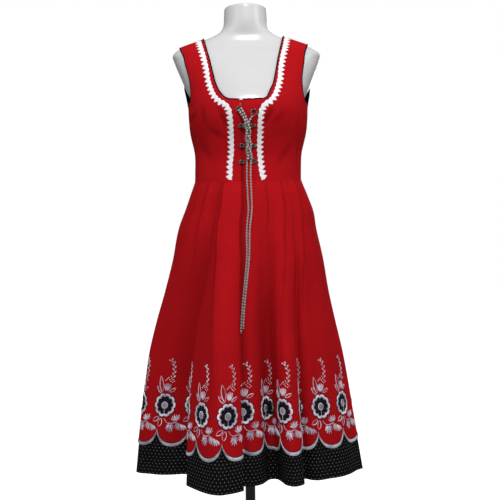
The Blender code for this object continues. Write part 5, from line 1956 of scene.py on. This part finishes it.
def weave_group():
    """Plain weave: threads over and under each other, by distances along the cloth."""
    group, given, result = new_group("plain_weave", (("Place", "Vector"), ("Thread", "Float")),
                                     (("Weave", "Float"),))
    axes = axes_of(group, given["Place"])
    waves = []
    for axis in ("X", "Y"):
        turns = math_node(group, "DIVIDE", axes[axis], given["Thread"])
        waves.append(math_node(group, "SINE", times(group, turns, math.pi)))
    product = times(group, waves[0], waves[1])
    group.links.new(math_node(group, "MULTIPLY_ADD", product, 0.5, 0.5), result["Weave"])
    return group


def tone_group():
    """Soft uneven tone over a surface, at one broad and one fine size."""
    group, given, result = new_group(
        "uneven_tone", (("Place", "Vector"), ("Broad", "Float"), ("Fine", "Float")),
        (("Tone", "Float"), ("Grain", "Float")))
    for label, size in (("Tone", "Broad"), ("Grain", "Fine")):
        noise = make_node(group, "ShaderNodeTexNoise", {"Vector": given["Place"], "Scale": given[size],
                                                        "Detail": 3.0, "Roughness": 0.55})
        group.links.new(noise.outputs["Fac"], result[label])
    return group


def dots_group():
    """White pin dots on a slanting lattice."""
    group, given, result = new_group(
        "pin_dots", (("Place", "Vector"), ("Across", "Float"), ("Up", "Float"), ("Radius", "Float")),
        (("Dots", "Float"),))
    axes = axes_of(group, given["Place"])
    rows = math_node(group, "DIVIDE", axes["Y"], given["Up"])
    shift = times(group, math_node(group, "FLOOR", rows), times(group, given["Across"], DOT_SLANT))
    columns = math_node(group, "DIVIDE", math_node(group, "ADD", axes["X"], shift), given["Across"])
    squares = []
    for place, size in ((columns, given["Across"]), (rows, given["Up"])):
        cell = math_node(group, "SUBTRACT", math_node(group, "FRACT", place), 0.5)
        reach = times(group, cell, size)
        squares.append(times(group, reach, reach))
    gap = math_node(group, "SQRT", math_node(group, "ADD", squares[0], squares[1]))
    inner = times(group, given["Radius"], DOT_CORE)
    group.links.new(stretched(group, gap, given["Radius"], inner), result["Dots"])
    return group


def lines_group():
    """Fine thread lines side by side, by the distance across them."""
    group, given, result = new_group("thread_lines", (("Place", "Vector"), ("Thread", "Float")),
                                     (("Lines", "Float"),))
    turns = math_node(group, "DIVIDE", axes_of(group, given["Place"])["X"], given["Thread"])
    group.links.new(zero_to_one(group, times(group, turns, 2.0 * math.pi)), result["Lines"])
    return group


def new_material(name, values):
    """Start a finish with its shader's values, and give its tree and shader."""
    finish = bpy.data.materials.new(name)
    finish.use_nodes = True
    tree = finish.node_tree
    shader = tree.nodes["Principled BSDF"]
    for label, value in values.items():
        shader.inputs[label].default_value = value
    return finish, tree, shader


def place_group(tree, group, inputs):
    """Put a node group into a finish."""
    return make_node(tree, "ShaderNodeGroup", inputs, node_tree=group).outputs


def uneven_tone(tree, groups, finish_kind):
    """Broad and fine unevenness of a finish, by places on the object itself."""
    place = make_node(tree, "ShaderNodeTexCoord").outputs["Object"]
    broad, fine = TONE_SIZES[finish_kind]
    return place_group(tree, groups["tone"], {"Place": place, "Broad": broad, "Fine": fine})


def blend_colours(tree, share, low, high):
    """Mix two colours by a share and give the result."""
    low, high = (value if isinstance(value, bpy.types.NodeSocket) else (*value, 1.0) for value in (low, high))
    return make_node(tree, "ShaderNodeMix", {0: share, 6: low, 7: high}, data_type="RGBA").outputs[2]


def cover_surface(tree, shader, colour, height, depth, strength):
    """Give a shader its colour, and turn a height into a bump of some depth on it."""
    bump = make_node(tree, "ShaderNodeBump", {"Height": height, "Distance": depth, "Strength": strength})
    tree.links.new(colour, shader.inputs["Base Color"])
    tree.links.new(bump.outputs["Normal"], shader.inputs["Normal"])


def cloth_finish(name, groups, low, high, sheen, dots=None):
    """Woven cloth with uneven tone, pin dots where it has them, and painted shade in its folds, creases and
    beside the front opening.
    """
    finish, tree, shader = new_material(name, {
        "Roughness": CLOTH_ROUGHNESS, "Specular IOR Level": 0.05, "Sheen Weight": sheen,
        "Sheen Roughness": 0.5, "Sheen Tint": (*high, 1.0)})
    laid = laid_place(tree)
    weave = place_group(tree, groups["weave"], {"Place": laid, "Thread": THREAD_PITCH})["Weave"]
    tone = uneven_tone(tree, groups, "cloth")
    share = shared_sum(tree, (weave, 0.12), (tone["Grain"], 0.35), (tone["Tone"], 0.7))
    colour = blend_colours(tree, math_node(tree, "SUBTRACT", share, 0.08), low, high)
    if dots:
        mask = place_group(tree, groups["dots"], {"Place": laid, **dots})["Dots"]
        colour = blend_colours(tree, mask, colour, DOT_COLOUR)
    # Painted shade: the third flat value darkens the colour towards a dark share of the cloth's shade colour.
    folds = times(tree, axes_of(tree, laid)["Z"], FOLD_DARK)
    colour = blend_colours(tree, folds, colour, [FOLD_TONE * value for value in low])
    height = math_node(tree, "MULTIPLY_ADD", weave, 0.5, tone["Grain"])
    cover_surface(tree, shader, colour, height, 0.35 * MM, 0.6)
    return finish


def thread_finish(groups, name, low, high, roughness, sheen, specular):
    """Satin stitch: glossy threads side by side, going from one shade to another."""
    finish, tree, shader = new_material(name, {
        "Roughness": roughness, "Specular IOR Level": specular, "Sheen Weight": sheen})
    lines = place_group(tree, groups["lines"], {"Place": laid_place(tree), "Thread": STITCH_PITCH})["Lines"]
    tone = uneven_tone(tree, groups, "thread")
    share = shared_sum(tree, (stretched(tree, tone["Tone"], 0.38, 0.62), 0.82), (lines, 0.18))
    height = math_node(tree, "ADD", lines, times(tree, tone["Grain"], 0.5))
    cover_surface(tree, shader, blend_colours(tree, share, low, high), height, 0.3 * MM, 0.7)
    return finish


def braid_finish():
    """White braid: slanting plaits of matt thread with soft shade between them."""
    finish, tree, shader = new_material("white_toothed_braid", {"Roughness": 0.7, "Sheen Weight": 0.4})
    axes = axes_of(tree, laid_place(tree))
    slant = math_node(tree, "ADD", axes["Y"], times(tree, axes["X"], TRIM_SLANT))
    lines = zero_to_one(tree, times(tree, slant, 2.0 * math.pi / BRAID_THREAD))
    share = shared_sum(tree, (axes["Z"], 0.5), (lines, 0.5))
    cover_surface(tree, shader, blend_colours(tree, share, BRAID_SHADE, BRAID_LIGHT), lines, 0.5 * MM, 0.8)
    return finish


def metal_finish(name, groups, low, high, roughness, metallic):
    """Old silver: painted shade in its grooves and painted light on its raised threads, and unevenly worn."""
    finish, tree, shader = new_material(name, {"Roughness": roughness, "Metallic": metallic})
    groove = axes_of(tree, laid_place(tree))["Z"]
    tone = uneven_tone(tree, groups, "metal")
    # Painted light and shade: the third flat value, dark in the grooves and bright on the crests, sets most
    # of the colour.
    share = shared_sum(tree, (tone["Tone"], 0.25), (stretched(tree, groove, 0.55, 0.95), 0.8))
    cover_surface(tree, shader, blend_colours(tree, share, low, high), tone["Grain"], 0.2 * MM, 0.6)
    return finish


def shell_finish(groups):
    """The form's smooth white skin, with faint unevenness."""
    finish, tree, shader = new_material("white_form_shell", {"Roughness": 0.27, "Specular IOR Level": 0.3})
    tone = uneven_tone(tree, groups, "shell")
    share = shared_sum(tree, (tone["Grain"], 0.2), (tone["Tone"], 0.8))
    colour = blend_colours(tree, share, SHELL_SHADE, SHELL_LIGHT)
    cover_surface(tree, shader, colour, tone["Grain"], 0.2 * MM, 0.3)
    return finish


def iron_finish(groups):
    """Dark powder-coated iron with a fine grain."""
    finish, tree, shader = new_material("dark_coated_iron", {"Roughness": 0.42, "Metallic": 0.6})
    tone = uneven_tone(tree, groups, "iron")
    share = shared_sum(tree, (tone["Grain"], 0.4), (tone["Tone"], 0.6))
    colour = blend_colours(tree, share, IRON_SHADE, IRON_LIGHT)
    cover_surface(tree, shader, colour, tone["Grain"], 0.4 * MM, 0.5)
    return finish


def make_camera():
    """The view from straight in front, with the top leaning a little to the left."""
    camera = bpy.data.cameras.new("view")
    camera.sensor_fit = "HORIZONTAL"
    camera.sensor_width = 36.0
    camera.lens = VIEW_LENS
    item = link_item("view", camera)
    across = Vector((math.cos(VIEW_ROLL), 0.0, math.sin(VIEW_ROLL)))
    back = Vector((0.0, -1.0, 0.0))
    turn = Matrix((across, back.cross(across), back)).transposed().to_4x4()
    item.matrix_world = Matrix.Translation((VIEW_SIDE, -VIEW_DISTANCE, VIEW_HEIGHT)) @ turn
    bpy.context.scene.camera = item


def add_light(name, place, aim, size, watts):
    """A soft square light that faces a point."""
    light = bpy.data.lights.new(name, "AREA")
    light.shape = "SQUARE"
    light.size = size
    light.energy = watts
    item = link_item(name, light)
    item.location = place
    item.rotation_euler = (Vector(aim) - Vector(place)).to_track_quat("-Z", "Y").to_euler()


def camera_sees(tree):
    """One where the camera looks straight at a surface, else zero."""
    return make_node(tree, "ShaderNodeLightPath").outputs["Is Camera Ray"]


def make_floor():
    """A pale floor that the camera sees as white."""
    body = bmesh.new()
    bmesh.ops.create_circle(body, cap_ends=True, segments=64, radius=FLOOR_RADIUS)
    floor = link_item("floor", finished_mesh("floor", body))
    finish, tree, shader = new_material("pale_floor", {
        "Roughness": 0.9, "Base Color": (FLOOR_TONE, FLOOR_TONE, FLOOR_TONE, 1.0),
        "Emission Color": (1.0, 1.0, 1.0, 1.0)})
    tree.links.new(times(tree, camera_sees(tree), FLOOR_GLOW), shader.inputs["Emission Strength"])
    floor.data.materials.append(finish)


def make_surround():
    """An even white surround, and soft lights, the main one from the right."""
    world = bpy.data.worlds.new("surround")
    world.use_nodes = True
    tree = world.node_tree
    ground = tree.nodes["Background"]
    ground.inputs["Color"].default_value = (1.0, 1.0, 1.0, 1.0)
    strength = math_node(tree, "MULTIPLY_ADD", camera_sees(tree), 1.0 - SURROUND, SURROUND)
    tree.links.new(strength, ground.inputs["Strength"])
    bpy.context.scene.world = world
    bpy.context.scene.view_settings.view_transform = "Standard"
    for light in LIGHTS:
        add_light(*light)


def declare_sheets(braids, pipings):
    """Go through each bodice cloth's cut sizes and list what is sewn on it: its braid, and all the piping for
    the back. Nothing is done with the lists.
    """
    for name, (width, length, area) in BODICE_CUTS.items():
        trims = [braids[name.replace("front_", "")]]
        if name == "back":
            trims = trims + pipings


def main():
    """Make the whole scene."""
    make_camera()
    make_floor()
    make_surround()
    groups = {"weave": weave_group(), "tone": tone_group(), "dots": dots_group(), "lines": lines_group()}
    red = cloth_finish("red_cotton", groups, RED_SHADE, RED_LIGHT, 0.12)
    black = cloth_finish("black_cotton", groups, BLACK_SHADE, BLACK_LIGHT, 0.05)
    dotted = cloth_finish("black_pin_dot_cotton", groups, DOTTED_SHADE, DOTTED_LIGHT, 0.02,
                          {"Across": DOT_ACROSS, "Up": DOT_UP, "Radius": DOT_RADIUS})
    threads = [thread_finish(groups, *row) for row in STITCHES]
    braid = braid_finish()
    silver = metal_finish("old_silver", groups, EYE_SHADE, EYE_LIGHT, 0.36, 0.7)
    cord = metal_finish("silver_twist", groups, CORD_SHADE, CORD_LIGHT, 0.42, 0.1)
    bodice, tree, fronts, backs = make_bodice(red, black)
    skirt, skirt_tree = make_skirt(red, dotted, threads)
    make_plait(tree, cord)
    make_lace_ends(tree, skirt_tree, cord)
    pipings = make_piping(fronts, backs, black)
    braids = make_trims(tree, backs, braid)
    make_eyes(tree, silver)
    make_hook(tree, silver)
    make_form(shell_finish(groups))
    make_stand(iron_finish(groups))
    declare_sheets(braids, pipings)


main()
